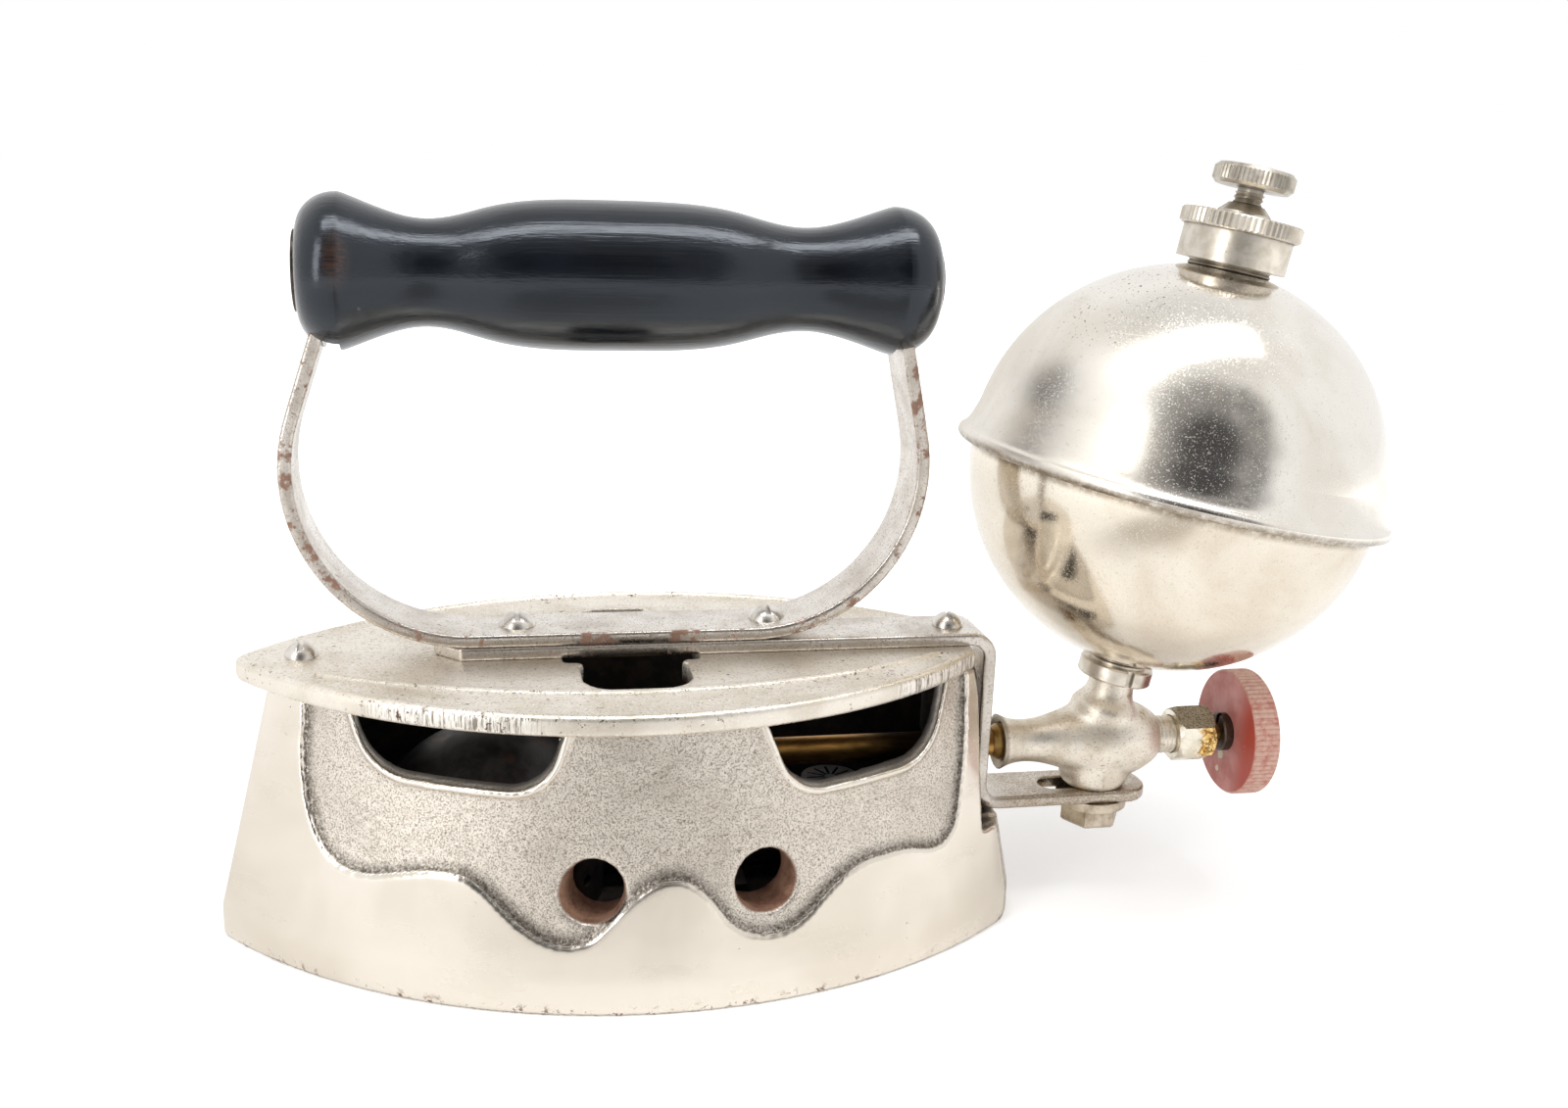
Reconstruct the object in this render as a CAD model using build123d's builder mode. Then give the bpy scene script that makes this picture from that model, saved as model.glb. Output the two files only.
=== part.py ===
from build123d import *
import math
import os

# Antique self-heating flat iron for liquid fuel: a hollow cast body with a burner inside, a bare
# top plate, a strap that carries a wooden grip, and a bracket that carries the valve and the
# spherical tank behind the heel. Millimetres. The origin is the middle of the sole face, the nose
# points to -X, the tank stands at +X, and +Z is up.

# Body casting: the plan is two arcs that meet at the nose, cut off square at the heel
sole_edge_height = 7.0
body_height = 58.4
sole_half_width = 45.3
sole_nose_x = -87.5
sole_mid_x = 6.7
sole_heel_x = 87.5
sole_nose_radius = 2.5
sole_heel_radius = 16.0
rim_half_width = 39.0
rim_nose_x = -75.2
rim_mid_x = 4.0
rim_heel_x = 77.0
rim_nose_radius = 2.2
rim_heel_radius = 3.0
wall = 5.0
floor_thickness = 8.0
cavity_corner_radius = 3.5
sole_edge_chamfer = 0.6
boss_radius = 4.8
recess_depth = 1.3
lip_width = 1.3
notch_step = 0.6
notch_clearance = 1.4
notch_ledge_gap = 0.6
window_corner_radius = 10.0
air_hole_radius = 6.6
air_hole_z = 25.6
air_hole_front_x = -10.9
air_hole_rear_x = 24.4

# Top plate
plate_thickness = 4.6
plate_half_width = 42.4
plate_nose_x = -82.4
plate_mid_x = 1.0
plate_heel_x = 76.0
plate_nose_radius = 5.0
plate_heel_radius = 1.5
plate_edge_radius = 1.3
plate_rim_width = 1.8
band_depth = 0.8
band_inner_half_width = 28.4
band_inner_radius = 133.0
band_nose_x = -64.5
band_heel_x = 68.0
vent_width = 25.0
vent_length = 53.6
vent_throat_width = 33.0
vent_throat_length = 19.0
vent_corner_radius = 7.0
vent_flare_radius = 3.8

# Flat bars: the tank bracket under the handle strap
bracket_thickness = 2.8
bracket_width = 14.8
bracket_front_x = -41.0
bracket_clip = 5.5
bend_inner_radius = 3.0
foot_below_valve = 13.8
foot_end_x = 122.8
foot_end_radius = 6.6
foot_slot_width = 6.6
foot_slot_front_x = 97.2
foot_slot_rear_x = 116.0
strap_thickness = 2.8
strap_width = 15.0
strap_loop_radius = 35.8
strap_front_x = -33.0
strap_rear_x = 26.4
strap_front_lean = 18.0
strap_rear_lean = 12.0
strap_neck_radius = 25.0
strap_front_tip_x = -58.9
strap_rear_tip_x = 56.2
strap_tip_above_rod = 6.0

# Wooden grip on its rod
grip_above_body = 83.8
grip_front_x = -65.2
grip_rear_x = 63.6
grip_end_radius = 8.4
grip_front_bulge_x = -57.4
grip_front_bulge_radius = 15.4
grip_front_neck_x = -43.8
grip_front_neck_radius = 10.9
grip_front_shoulder_x = -28.5
grip_front_shoulder_radius = 13.2
grip_middle_x = -3.5
grip_middle_radius = 15.1
grip_rear_shoulder_x = 21.5
grip_rear_shoulder_radius = 13.4
grip_rear_neck_x = 39.2
grip_rear_neck_radius = 10.9
grip_rear_bulge_x = 55.0
grip_rear_bulge_radius = 15.4
grip_bulge_share = 0.3
grip_rod_radius = 2.5
grip_washer_radius = 8.0
grip_washer_thickness = 0.6
grip_slot_clearance = 0.2

# Round-head slotted screws
screw_head_radius = 4.0
screw_head_height = 2.9
plate_screw_head_radius = 3.5
plate_screw_head_height = 3.0
screw_shank_radius = 2.4
screw_slot_width = 1.1
screw_slot_depth = 1.3
screw_hole_clearance = 0.05
nose_screw_x = -68.0
strap_screw_front_x = -23.6
strap_screw_rear_x = 30.3
bracket_screw_x = 72.1
body_screw_length = 14.0
screw_end_gap = 2.0
burner_screw_head_radius = 3.2
burner_screw_head_height = 2.2
burner_screw_shank_radius = 1.9
burner_screw_length = 7.5

# Tank: two spun half shells joined by a rolled seam, tipped back a little
tank_hang = 3.3
tank_tilt = 10.8
tank_upper_radius = 46.1
tank_lower_step = 0.5
tank_sheet = 0.9
seam_flare_height = 6.5
seam_flange_reach = 1.9
seam_bead_reach = 1.1
seam_flange_top = 0.9
seam_flange_thickness = 1.3
seam_roll_clearance = 0.8
seam_flare_share = 0.5
seam_roll_start = 65.0
neck_outer_radius = 9.2
neck_bore_radius = 6.9
neck_foot_depth = 3.7
neck_top_rise = 6.5
neck_thread_pitch = 1.0
neck_thread_reach = 2.0
thread_depth = 0.45
spud_radius = 5.4
spud_flange_radius = 6.6
spud_flange_drop = 0.2
spud_top_depth = 3.0
collar_radius = 8.5
collar_drop = 0.8
collar_height = 3.8
collar_edge = 0.4
collar_notch_width = 1.6
collar_notch_depth = 1.0

# Filler cap and vent screw
gasket_thickness = 1.4
gasket_side_clearance = 0.1
cap_bottom_rise = 0.5
cap_barrel_radius = 12.0
cap_disc_radius = 13.3
cap_barrel_height = 7.1
cap_disc_height = 3.6
cap_edge = 0.5
cap_rib_count = 64
cap_rib_depth = 0.35
fit_clearance = 0.06
gland_shank_radius = 4.2
gland_base_radius = 5.8
gland_base_height = 0.8
gland_top_radius = 4.0
gland_height = 2.6
gland_seat_height = 1.4
vent_hole_radius = 0.9
vent_thread_radius = 3.25
vent_neck_radius = 2.8
vent_thread_rise = 5.0
vent_neck_height = 1.1
vent_knob_height = 4.4
vent_knob_radius = 8.85
vent_knob_edge = 0.9
vent_rib_count = 56
vent_rib_depth = 0.3

# Valve, its spindle and hand wheel, on one level axis
valve_below_body = 21.5
valve_x = 110.6
valve_end_x = 86.0
valve_end_radius = 6.5
valve_end_lip = 0.7
valve_end_sink = 1.2
valve_waist_x = 92.4
valve_waist_radius = 4.95
valve_flare_x = 101.2
valve_flare_radius = 6.8
valve_bulb_radius = 9.5
valve_flank_x = 119.4
valve_flank_radius = 8.5
valve_shoulder_x = 124.6
valve_shoulder_radius = 5.4
valve_thread_radius = 4.6
valve_thread_end_x = 131.7
valve_socket_radius = 4.3
valve_socket_depth = 4.9
valve_tube_depth = 7.4
valve_passage_radius = 1.4
valve_chamber_radius = 2.9
valve_chamber_x = 108.6
valve_neck_radius = 5.1
valve_neck_foot_radius = 8.0
valve_neck_mid_radius = 5.6
valve_neck_low_share = 0.55
valve_neck_high_share = 0.74
valve_tip_radius = 4.2
valve_tip_depth = 2.0
valve_hub_radius = 8.1
valve_hub_height = 4.6
valve_hub_edge = 1.3
packing_front_x = 126.0
nut_across_flats = 12.0
nut_front_x = 129.3
nut_rear_x = 138.7
nut_thread_depth = 3.6
nut_bevel = 1.1
stem_radius = 2.2
stem_tip_x = 107.15
stem_cone_length = 2.4
stem_thread_front_x = 112.0
stem_thread_rear_x = 120.0
wheel_nut_radius = 4.5
wheel_nut_thickness = 2.3
wheel_nut_slot_width = 1.3
wheel_nut_slot_depth = 1.0
wheel_front_x = 143.6
wheel_thickness = 6.4
wheel_radius = 14.9
wheel_edge = 0.5
wheel_rib_count = 72
wheel_rib_depth = 0.35
wheel_dish_radius = 10.5
wheel_dish_depth = 1.2
wheel_screw_head_radius = 3.4
wheel_screw_head_height = 2.0
wheel_screw_shank_radius = 1.3
wheel_screw_length = 6.0
wheel_screw_slot_width = 0.9
wheel_screw_slot_depth = 0.9

# Bolt that clamps the valve to the bracket foot
bolt_radius = 3.0
bolt_grip = 6.0
bolt_head_across_flats = 12.4
bolt_head_height = 4.8
bolt_head_bevel = 0.7
washer_radius = 8.3
washer_thickness = 2.2

# Generator tube and burner
tube_radius = 3.1
tube_bore_radius = 1.9
tube_hole_clearance = 0.2
ferrule_radius = 4.2
ferrule_front_x = 84.4
ferrule_taper = 1.4
block_front_x = -4.0
block_length = 12.0
block_width = 13.0
block_height = 12.0
block_edge_radius = 1.6
block_tube_depth = 4.0
block_passage_radius = 1.5
jet_across_flats = 8.0
jet_hex_height = 2.6
jet_thread_radius = 2.0
jet_thread_length = 2.6
jet_tip_radius = 1.6
jet_tip_height = 2.8
jet_hole_radius = 0.5
dome_x = -30.0
dome_radius = 25.0
dome_top_z = 45.6
dome_wall = 2.5
dome_base = 2.0
dome_port_radius = 1.3
dome_port_count = 20
dome_port_skip = 2
dome_port_height = 7.0
duct_radius = 6.0
duct_bore_radius = 4.0
duct_height = 7.6
throat_radius = 6.4
throat_bore_radius = 4.6
throat_below_valve = 11.8
riser_x = 46.6
riser_radius = 7.2
riser_bore_radius = 5.2
riser_below_valve = 9.0
lug_x = 20.0
lug_length = 11.0
lug_width = 27.0
lug_thickness = 3.4
burner_screw_y = 9.7
cap_plate_radius = 6.7
cap_plate_thickness = 2.2
cap_spigot_depth = 3.0
star_slot_count = 12
star_slot_width = 0.6
star_slot_inner_radius = 1.4
star_slot_length = 4.2

overrun = 2.0

plate_top = body_height + plate_thickness
grip_axis_z = body_height + grip_above_body
tank_z = body_height - tank_hang + tank_upper_radius
valve_z = body_height - valve_below_body
foot_underside_z = valve_z - foot_below_valve
throat_top_z = valve_z - throat_below_valve
riser_top_z = valve_z - riser_below_valve
tank_lower_radius = tank_upper_radius - tank_lower_step
seam_flange_radius = tank_upper_radius + seam_flange_reach
seam_bead_radius = seam_flange_radius + seam_bead_reach
neck_foot = tank_upper_radius - neck_foot_depth
neck_top = tank_upper_radius + neck_top_rise
cap_bottom = tank_upper_radius + cap_bottom_rise
cap_disc_bottom = cap_bottom + cap_barrel_height
cap_disc_top = cap_disc_bottom + cap_disc_height
vent_thread_top = cap_disc_top + vent_thread_rise
vent_knob_bottom = vent_thread_top + vent_neck_height
vent_knob_top = vent_knob_bottom + vent_knob_height
spud_flange_top = tank_lower_radius + spud_flange_drop
spud_top = tank_lower_radius - spud_top_depth
collar_top = tank_lower_radius + collar_drop
collar_bottom = collar_top + collar_height
valve_tip_top = tank_lower_radius - valve_tip_depth
bracket_top = plate_top + bracket_thickness
strap_top = bracket_top + strap_thickness
tank_axis_tilt = math.radians(tank_tilt)
tank_up = (math.sin(tank_axis_tilt), 0, math.cos(tank_axis_tilt))
tank_across = (math.cos(tank_axis_tilt), 0, -math.sin(tank_axis_tilt))
valve_below_tank = (tank_z - valve_z) / math.cos(tank_axis_tilt)
tank_centre = (valve_x + valve_below_tank * math.sin(tank_axis_tilt), 0, tank_z)
tank_axis = Axis(tank_centre, tank_up)
tank_section = Plane(origin=tank_centre, x_dir=tank_across, z_dir=(0, -1, 0))
valve_axis = Axis((0, 0, valve_z), (1, 0, 0))
valve_section = Plane(origin=(0, 0, valve_z), x_dir=(1, 0, 0), z_dir=(0, -1, 0))
grip_axis = Axis((0, 0, grip_axis_z), (1, 0, 0))
grip_section = Plane(origin=(0, 0, grip_axis_z), x_dir=(1, 0, 0), z_dir=(0, -1, 0))

os.makedirs("parts", exist_ok=True)


def lens_outline(nose_x, mid_x, heel_x, half_width, inset, nose_radius, heel_radius):
    """Draw two arcs that meet at the nose, with a square heel, into the sketch that is open."""
    half_chord = mid_x - nose_x
    arc_radius = (half_chord**2 + half_width**2) / (2 * half_width)
    centre_y = arc_radius - half_width
    with Locations((mid_x, -centre_y)):
        Circle(arc_radius - inset)
    with Locations((mid_x, centre_y)):
        Circle(arc_radius - inset, mode=Mode.INTERSECT)
    with Locations((heel_x, 0)):
        Rectangle(
            2 * arc_radius, 2 * arc_radius, align=(Align.MIN, Align.CENTER), mode=Mode.SUBTRACT
        )
    fillet(vertices().sort_by(Axis.X)[0], nose_radius)
    fillet(vertices().sort_by(Axis.X)[-2:], heel_radius)


def body_outline(height, inset=0):
    """Draw the body's plan at a height, drawn in by an inset, into the sketch that is open."""
    share = max(0, (height - sole_edge_height) / (body_height - sole_edge_height))

    def between(at_sole, at_rim):
        return at_sole + (at_rim - at_sole) * share

    lens_outline(
        between(sole_nose_x, rim_nose_x),
        between(sole_mid_x, rim_mid_x),
        between(sole_heel_x, rim_heel_x) - inset,
        between(sole_half_width, rim_half_width),
        inset,
        between(sole_nose_radius, rim_nose_radius),
        between(sole_heel_radius, rim_heel_radius),
    )


def cavity_outline(height):
    """Draw the plan of the hollow at a height into the sketch that is open."""
    share = (height - sole_edge_height) / (body_height - sole_edge_height)
    lens_outline(
        sole_nose_x + (rim_nose_x - sole_nose_x) * share,
        sole_mid_x + (rim_mid_x - sole_mid_x) * share,
        notch_x - wall,
        sole_half_width + (rim_half_width - sole_half_width) * share,
        wall,
        cavity_corner_radius,
        cavity_corner_radius,
    )


def turned(section_plane, axis, points, mode=Mode.ADD):
    """Turn a straight-sided profile about an axis, in the part that is open."""
    with BuildSketch(section_plane) as profile:
        with BuildLine():
            Polyline(*points, close=True)
        make_face()
    revolve(profile.sketch, axis=axis, mode=mode)


def threaded(bottom, top, radius, pitch):
    """Profile points of a thread's crests and roots between two heights, as (radius, height)."""
    turns = max(1, round((top - bottom) / pitch))
    step = (top - bottom) / turns
    points = []
    for turn in range(turns):
        points.append((radius, bottom + turn * step))
        points.append((radius - thread_depth, bottom + (turn + 0.5) * step))
    points.append((radius, top))
    return points


def knurled_disc(radius, depth, count):
    """Draw a disc with straight V ribs on its rim into the sketch that is open."""
    corners = []
    for rib in range(2 * count):
        corner_radius = radius if rib % 2 == 0 else radius - depth
        angle = math.pi * rib / count
        corners.append((corner_radius * math.cos(angle), corner_radius * math.sin(angle)))
    with BuildLine() as rim:
        Polyline(*corners, close=True)
    make_face(rim.edges())


def slotted_screw(seat, head_radius, head_height, shank_radius, length, slot_width, slot_depth):
    """A round-head screw with its seat at a plane, the shank going down from it."""
    ball_radius = (head_radius**2 + head_height**2) / (2 * head_height)
    section = Plane(origin=seat.origin, x_dir=seat.x_dir, z_dir=-seat.y_dir)
    with BuildPart() as screw:
        with BuildSketch(section):
            with BuildLine():
                Line((0, head_height), (0, -length))
                Line((0, -length), (shank_radius, -length))
                Line((shank_radius, -length), (shank_radius, 0))
                Line((shank_radius, 0), (head_radius, 0))
                RadiusArc((head_radius, 0), (0, head_height), -ball_radius)
            make_face()
        revolve(axis=Axis(seat.origin, seat.z_dir))
        with BuildSketch(seat.offset(head_height)):
            Rectangle(slot_width, 3 * head_radius)
        extrude(amount=-slot_depth, mode=Mode.SUBTRACT)
    return screw.part


notch_x = rim_heel_x + notch_step
leg_front_x = notch_x + notch_clearance
leg_rear_x = leg_front_x + bracket_thickness
foot_top = foot_underside_z + bracket_thickness
strap_screw_places = ((strap_screw_front_x, 0), (strap_screw_rear_x, 0))

# Sculpted recess on each side, as shares of the half length and of the height
panel_border_shares = [
    (-0.762, 1.060), (-0.770, 0.880), (-0.772, 0.740), (-0.764, 0.620), (-0.742, 0.520),
    (-0.706, 0.447), (-0.655, 0.420), (-0.560, 0.448), (-0.462, 0.477), (-0.405, 0.470),
    (-0.342, 0.396), (-0.270, 0.300), (-0.200, 0.254), (-0.135, 0.268), (-0.064, 0.370),
    (0.010, 0.458), (0.064, 0.478), (0.112, 0.450), (0.186, 0.320), (0.262, 0.256),
    (0.340, 0.266), (0.420, 0.356), (0.510, 0.440), (0.585, 0.452), (0.670, 0.436),
    (0.745, 0.414), (0.785, 0.450), (0.810, 0.560), (0.826, 0.690), (0.838, 0.860),
    (0.846, 1.060),
]
front_window_shares = [(-0.660, 1.020), (-0.607, 0.786), (-0.225, 0.780), (-0.174, 1.020)]
rear_window_shares = [(0.270, 1.020), (0.346, 0.742), (0.712, 0.748), (0.772, 1.020)]


def side_points(shares):
    """Places on the side view from shares of the half length and of the body height."""
    return [(across * sole_heel_x, up * body_height) for across, up in shares]


def window_outline(shares, margin):
    """Draw a side window, grown by a margin, into the sketch that is open."""
    with BuildLine() as sides:
        Polyline(*side_points(shares), close=True)
    make_face(sides.edges())
    if margin > 0:
        offset(amount=margin, kind=Kind.INTERSECTION)
    fillet(vertices().sort_by(Axis.Y)[:2], window_corner_radius + margin)


with BuildPart() as recess_core:
    with BuildSketch():
        body_outline(0, recess_depth)
    extrude(amount=sole_edge_height)
    with BuildSketch(Plane.XY.offset(sole_edge_height)):
        body_outline(sole_edge_height, recess_depth)
    with BuildSketch(Plane.XY.offset(body_height)):
        body_outline(body_height, recess_depth)
    loft(ruled=True)

with BuildPart() as side_recess:
    with BuildSketch(Plane.XZ):
        with BuildLine():
            border = Spline(*side_points(panel_border_shares))
            Line(border @ 1, border @ 0)
        make_face()
    extrude(amount=2 * sole_half_width, both=True)
    for shares in (front_window_shares, rear_window_shares):
        with BuildSketch(Plane.XZ):
            window_outline(shares, lip_width)
        extrude(amount=2 * sole_half_width, both=True, mode=Mode.SUBTRACT)
    add(recess_core.part, mode=Mode.SUBTRACT)

with BuildPart() as body_casting:
    with BuildSketch():
        body_outline(0)
    extrude(amount=sole_edge_height)
    with BuildSketch(Plane.XY.offset(sole_edge_height)):
        body_outline(sole_edge_height)
    with BuildSketch(Plane.XY.offset(body_height)):
        body_outline(body_height)
    loft(ruled=True)
    chamfer(faces().sort_by(Axis.Z)[0].edges(), sole_edge_chamfer)
    with BuildSketch(Plane.XY.offset(foot_underside_z - notch_ledge_gap)):
        with Locations((notch_x, 0)):
            Rectangle(
                sole_heel_x, 2 * sole_half_width, align=(Align.MIN, Align.CENTER)
            )
    extrude(amount=body_height, mode=Mode.SUBTRACT)
    with BuildSketch(Plane.XY.offset(floor_thickness)):
        cavity_outline(floor_thickness)
    with BuildSketch(Plane.XY.offset(body_height)):
        cavity_outline(body_height)
    loft(ruled=True, mode=Mode.SUBTRACT)
    with BuildSketch(Plane.XY.offset(floor_thickness)):
        with Locations((nose_screw_x, 0), (bracket_screw_x, 0)):
            Circle(boss_radius)
    extrude(amount=body_height - floor_thickness)
    add(side_recess.part, mode=Mode.SUBTRACT)
    for shares in (front_window_shares, rear_window_shares):
        with BuildSketch(Plane.XZ):
            window_outline(shares, 0)
        extrude(amount=2 * sole_half_width, both=True, mode=Mode.SUBTRACT)
    with BuildSketch(Plane.XZ):
        with Locations((air_hole_front_x, air_hole_z), (air_hole_rear_x, air_hole_z)):
            Circle(air_hole_radius)
    extrude(amount=2 * sole_half_width, both=True, mode=Mode.SUBTRACT)
    with BuildSketch(Plane.XY.offset(body_height)):
        with Locations((nose_screw_x, 0), (bracket_screw_x, 0)):
            Circle(screw_shank_radius + screw_hole_clearance)
    extrude(amount=-body_screw_length, mode=Mode.SUBTRACT)
    with BuildSketch(Plane.XY.offset(floor_thickness)):
        with Locations((lug_x, burner_screw_y), (lug_x, -burner_screw_y)):
            Circle(burner_screw_shank_radius + screw_hole_clearance)
    extrude(amount=lug_thickness - burner_screw_length, mode=Mode.SUBTRACT)
    with BuildSketch(Plane.YZ.offset(bracket_screw_x - 2 * boss_radius)):
        with Locations((0, valve_z)):
            Circle(tube_radius + tube_hole_clearance)
    extrude(amount=4 * boss_radius, mode=Mode.SUBTRACT)
body_casting.part.label = "body_casting"
export_step(body_casting.part, "parts/body_casting.step")

with BuildSketch(Plane.XY.offset(plate_top - band_depth)) as band_core:
    with Locations((plate_mid_x, band_inner_half_width - band_inner_radius)):
        Circle(band_inner_radius)
    with Locations((plate_mid_x, band_inner_radius - band_inner_half_width)):
        Circle(band_inner_radius, mode=Mode.INTERSECT)

plate_sizes = (plate_nose_x, plate_mid_x, plate_heel_x, plate_half_width)
with BuildPart() as top_plate:
    with BuildSketch(Plane.XY.offset(body_height)):
        lens_outline(*plate_sizes, 0, plate_nose_radius, plate_heel_radius)
    extrude(amount=plate_thickness)
    fillet(faces().sort_by(Axis.Z)[-1].edges(), plate_edge_radius)
    fillet(faces().sort_by(Axis.Z)[0].edges(), plate_edge_radius)
    with BuildSketch(Plane.XY.offset(plate_top - band_depth)):
        lens_outline(*plate_sizes, plate_rim_width, plate_nose_radius, plate_heel_radius)
        add(band_core.sketch, mode=Mode.SUBTRACT)
        with Locations((band_nose_x, 0)):
            Rectangle(
                band_heel_x - band_nose_x,
                2 * plate_half_width,
                align=(Align.MIN, Align.CENTER),
                mode=Mode.INTERSECT,
            )
    extrude(amount=plate_thickness, mode=Mode.SUBTRACT)
    with BuildSketch(Plane.XY.offset(body_height)):
        Rectangle(vent_width, vent_length)
        fillet(vertices(), vent_corner_radius)
        Rectangle(vent_throat_width, vent_throat_length)
        inside_corners = [
            corner
            for corner in vertices()
            if math.isclose(abs(corner.Y), vent_throat_length / 2)
            and math.isclose(abs(corner.X), vent_width / 2)
        ]
        fillet(inside_corners, vent_flare_radius)
    extrude(amount=plate_thickness, mode=Mode.SUBTRACT)
    with BuildSketch(Plane.XY.offset(body_height)):
        with Locations((nose_screw_x, 0), (bracket_screw_x, 0), *strap_screw_places):
            Circle(screw_shank_radius + screw_hole_clearance)
    extrude(amount=plate_thickness, mode=Mode.SUBTRACT)
top_plate.part.label = "top_plate"
export_step(top_plate.part, "parts/top_plate.step")

with BuildPart() as handle_strap:
    strap_middle = bracket_top + strap_thickness / 2
    loop_centre_z = strap_middle + strap_loop_radius
    front_lean = math.radians(strap_front_lean)
    rear_lean = math.radians(strap_rear_lean)
    with BuildLine(Plane.XZ) as strap_path:
        Line((strap_front_x, strap_middle), (strap_rear_x, strap_middle))
        for centre_x, lean, tip_x, side in (
            (strap_front_x, front_lean, strap_front_tip_x, -1),
            (strap_rear_x, rear_lean, strap_rear_tip_x, 1),
        ):
            CenterArc(
                (centre_x, loop_centre_z), strap_loop_radius, -90, side * (90 + math.degrees(lean))
            )
            loop_end_x = centre_x + side * strap_loop_radius * math.cos(lean)
            loop_end_z = loop_centre_z + strap_loop_radius * math.sin(lean)
            bend_across = strap_neck_radius * (1 - math.cos(lean))
            bend_up = strap_neck_radius * math.sin(lean)
            run = (abs(tip_x - loop_end_x) - bend_across) / math.sin(lean)
            run_end = (loop_end_x - side * run * math.sin(lean), loop_end_z + run * math.cos(lean))
            Line((loop_end_x, loop_end_z), run_end)
            bend_end = (tip_x, run_end[1] + bend_up)
            RadiusArc(run_end, bend_end, side * strap_neck_radius)
            Line(bend_end, (tip_x, grip_axis_z + strap_tip_above_rod))
    tip_plane = Plane(
        origin=(strap_front_tip_x, 0, grip_axis_z + strap_tip_above_rod), z_dir=(0, 0, -1)
    )
    with BuildSketch(tip_plane):
        Rectangle(strap_thickness, strap_width)
    sweep(path=strap_path.wire())
    with BuildSketch(Plane.YZ.offset(strap_front_tip_x - strap_thickness)):
        with Locations((0, grip_axis_z)):
            Circle(grip_rod_radius + screw_hole_clearance)
    extrude(amount=strap_rear_tip_x - strap_front_tip_x + 2 * strap_thickness, mode=Mode.SUBTRACT)
    with BuildSketch(Plane.XY.offset(bracket_top)):
        with Locations(*strap_screw_places):
            Circle(screw_shank_radius + screw_hole_clearance)
    extrude(amount=strap_thickness, mode=Mode.SUBTRACT)
    with BuildSketch(Plane.XY.offset(strap_top)):
        with Locations(*strap_screw_places):
            Circle(screw_head_radius + screw_hole_clearance)
    extrude(amount=screw_head_height, mode=Mode.SUBTRACT)
handle_strap.part.label = "handle_strap"
export_step(handle_strap.part, "parts/handle_strap.step")

with BuildPart() as tank_bracket:
    bend_outer_radius = bend_inner_radius + bracket_thickness
    with BuildSketch(Plane.XZ):
        with BuildLine():
            Polyline(
                (bracket_front_x, plate_top),
                (leg_front_x, plate_top),
                (leg_front_x, foot_underside_z),
                (foot_end_x, foot_underside_z),
                (foot_end_x, foot_top),
                (leg_rear_x, foot_top),
                (leg_rear_x, bracket_top),
                (bracket_front_x, bracket_top),
                close=True,
            )
        make_face()
        for bend_places, bend_radius in (
            (((leg_front_x, plate_top), (leg_rear_x, foot_top)), bend_inner_radius),
            (((leg_front_x, foot_underside_z), (leg_rear_x, bracket_top)), bend_outer_radius),
        ):
            for bend_place in bend_places:
                bend_corner = vertices().sort_by_distance((*bend_place, 0))[0]
                fillet(bend_corner, bend_radius)
    extrude(amount=bracket_width / 2, both=True)
    upright = edges().filter_by(Axis.Z)
    fillet(upright.sort_by(Axis.X)[-2:], foot_end_radius)
    chamfer(edges().filter_by(Axis.Z).sort_by(Axis.X)[:2], bracket_clip)
    with BuildSketch(Plane.XY.offset(foot_underside_z)):
        with Locations(((foot_slot_front_x + foot_slot_rear_x) / 2, 0)):
            SlotOverall(foot_slot_rear_x - foot_slot_front_x, foot_slot_width)
    extrude(amount=bracket_thickness, mode=Mode.SUBTRACT)
    with BuildSketch(Plane.XY.offset(plate_top)):
        with Locations((bracket_screw_x, 0), *strap_screw_places):
            Circle(screw_shank_radius + screw_hole_clearance)
    extrude(amount=bracket_thickness, mode=Mode.SUBTRACT)
    with BuildSketch(Plane.YZ.offset(leg_front_x)):
        with Locations((0, valve_z)):
            Circle(tube_radius + tube_hole_clearance)
    extrude(amount=bracket_thickness, mode=Mode.SUBTRACT)
tank_bracket.part.label = "tank_bracket"
export_step(tank_bracket.part, "parts/tank_bracket.step")

nose_screw = slotted_screw(
    Plane(origin=(nose_screw_x, 0, plate_top)),
    plate_screw_head_radius,
    plate_screw_head_height,
    screw_shank_radius,
    plate_thickness + body_screw_length - screw_end_gap,
    screw_slot_width,
    screw_slot_depth,
)
nose_screw.label = "nose_screw"
export_step(nose_screw, "parts/nose_screw.step")

with BuildPart() as strap_screws:
    for x, _ in strap_screw_places:
        add(slotted_screw(
            Plane(origin=(x, 0, strap_top)),
            screw_head_radius,
            screw_head_height,
            screw_shank_radius,
            strap_thickness + bracket_thickness + plate_thickness,
            screw_slot_width,
            screw_slot_depth,
        ))
strap_screws.part.label = "strap_screws"
export_step(strap_screws.part, "parts/strap_screws.step")

bracket_screw = slotted_screw(
    Plane(origin=(bracket_screw_x, 0, bracket_top)),
    plate_screw_head_radius,
    plate_screw_head_height,
    screw_shank_radius,
    bracket_thickness + plate_thickness + body_screw_length - screw_end_gap,
    screw_slot_width,
    screw_slot_depth,
)
bracket_screw.label = "bracket_screw"
export_step(bracket_screw, "parts/bracket_screw.step")

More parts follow.
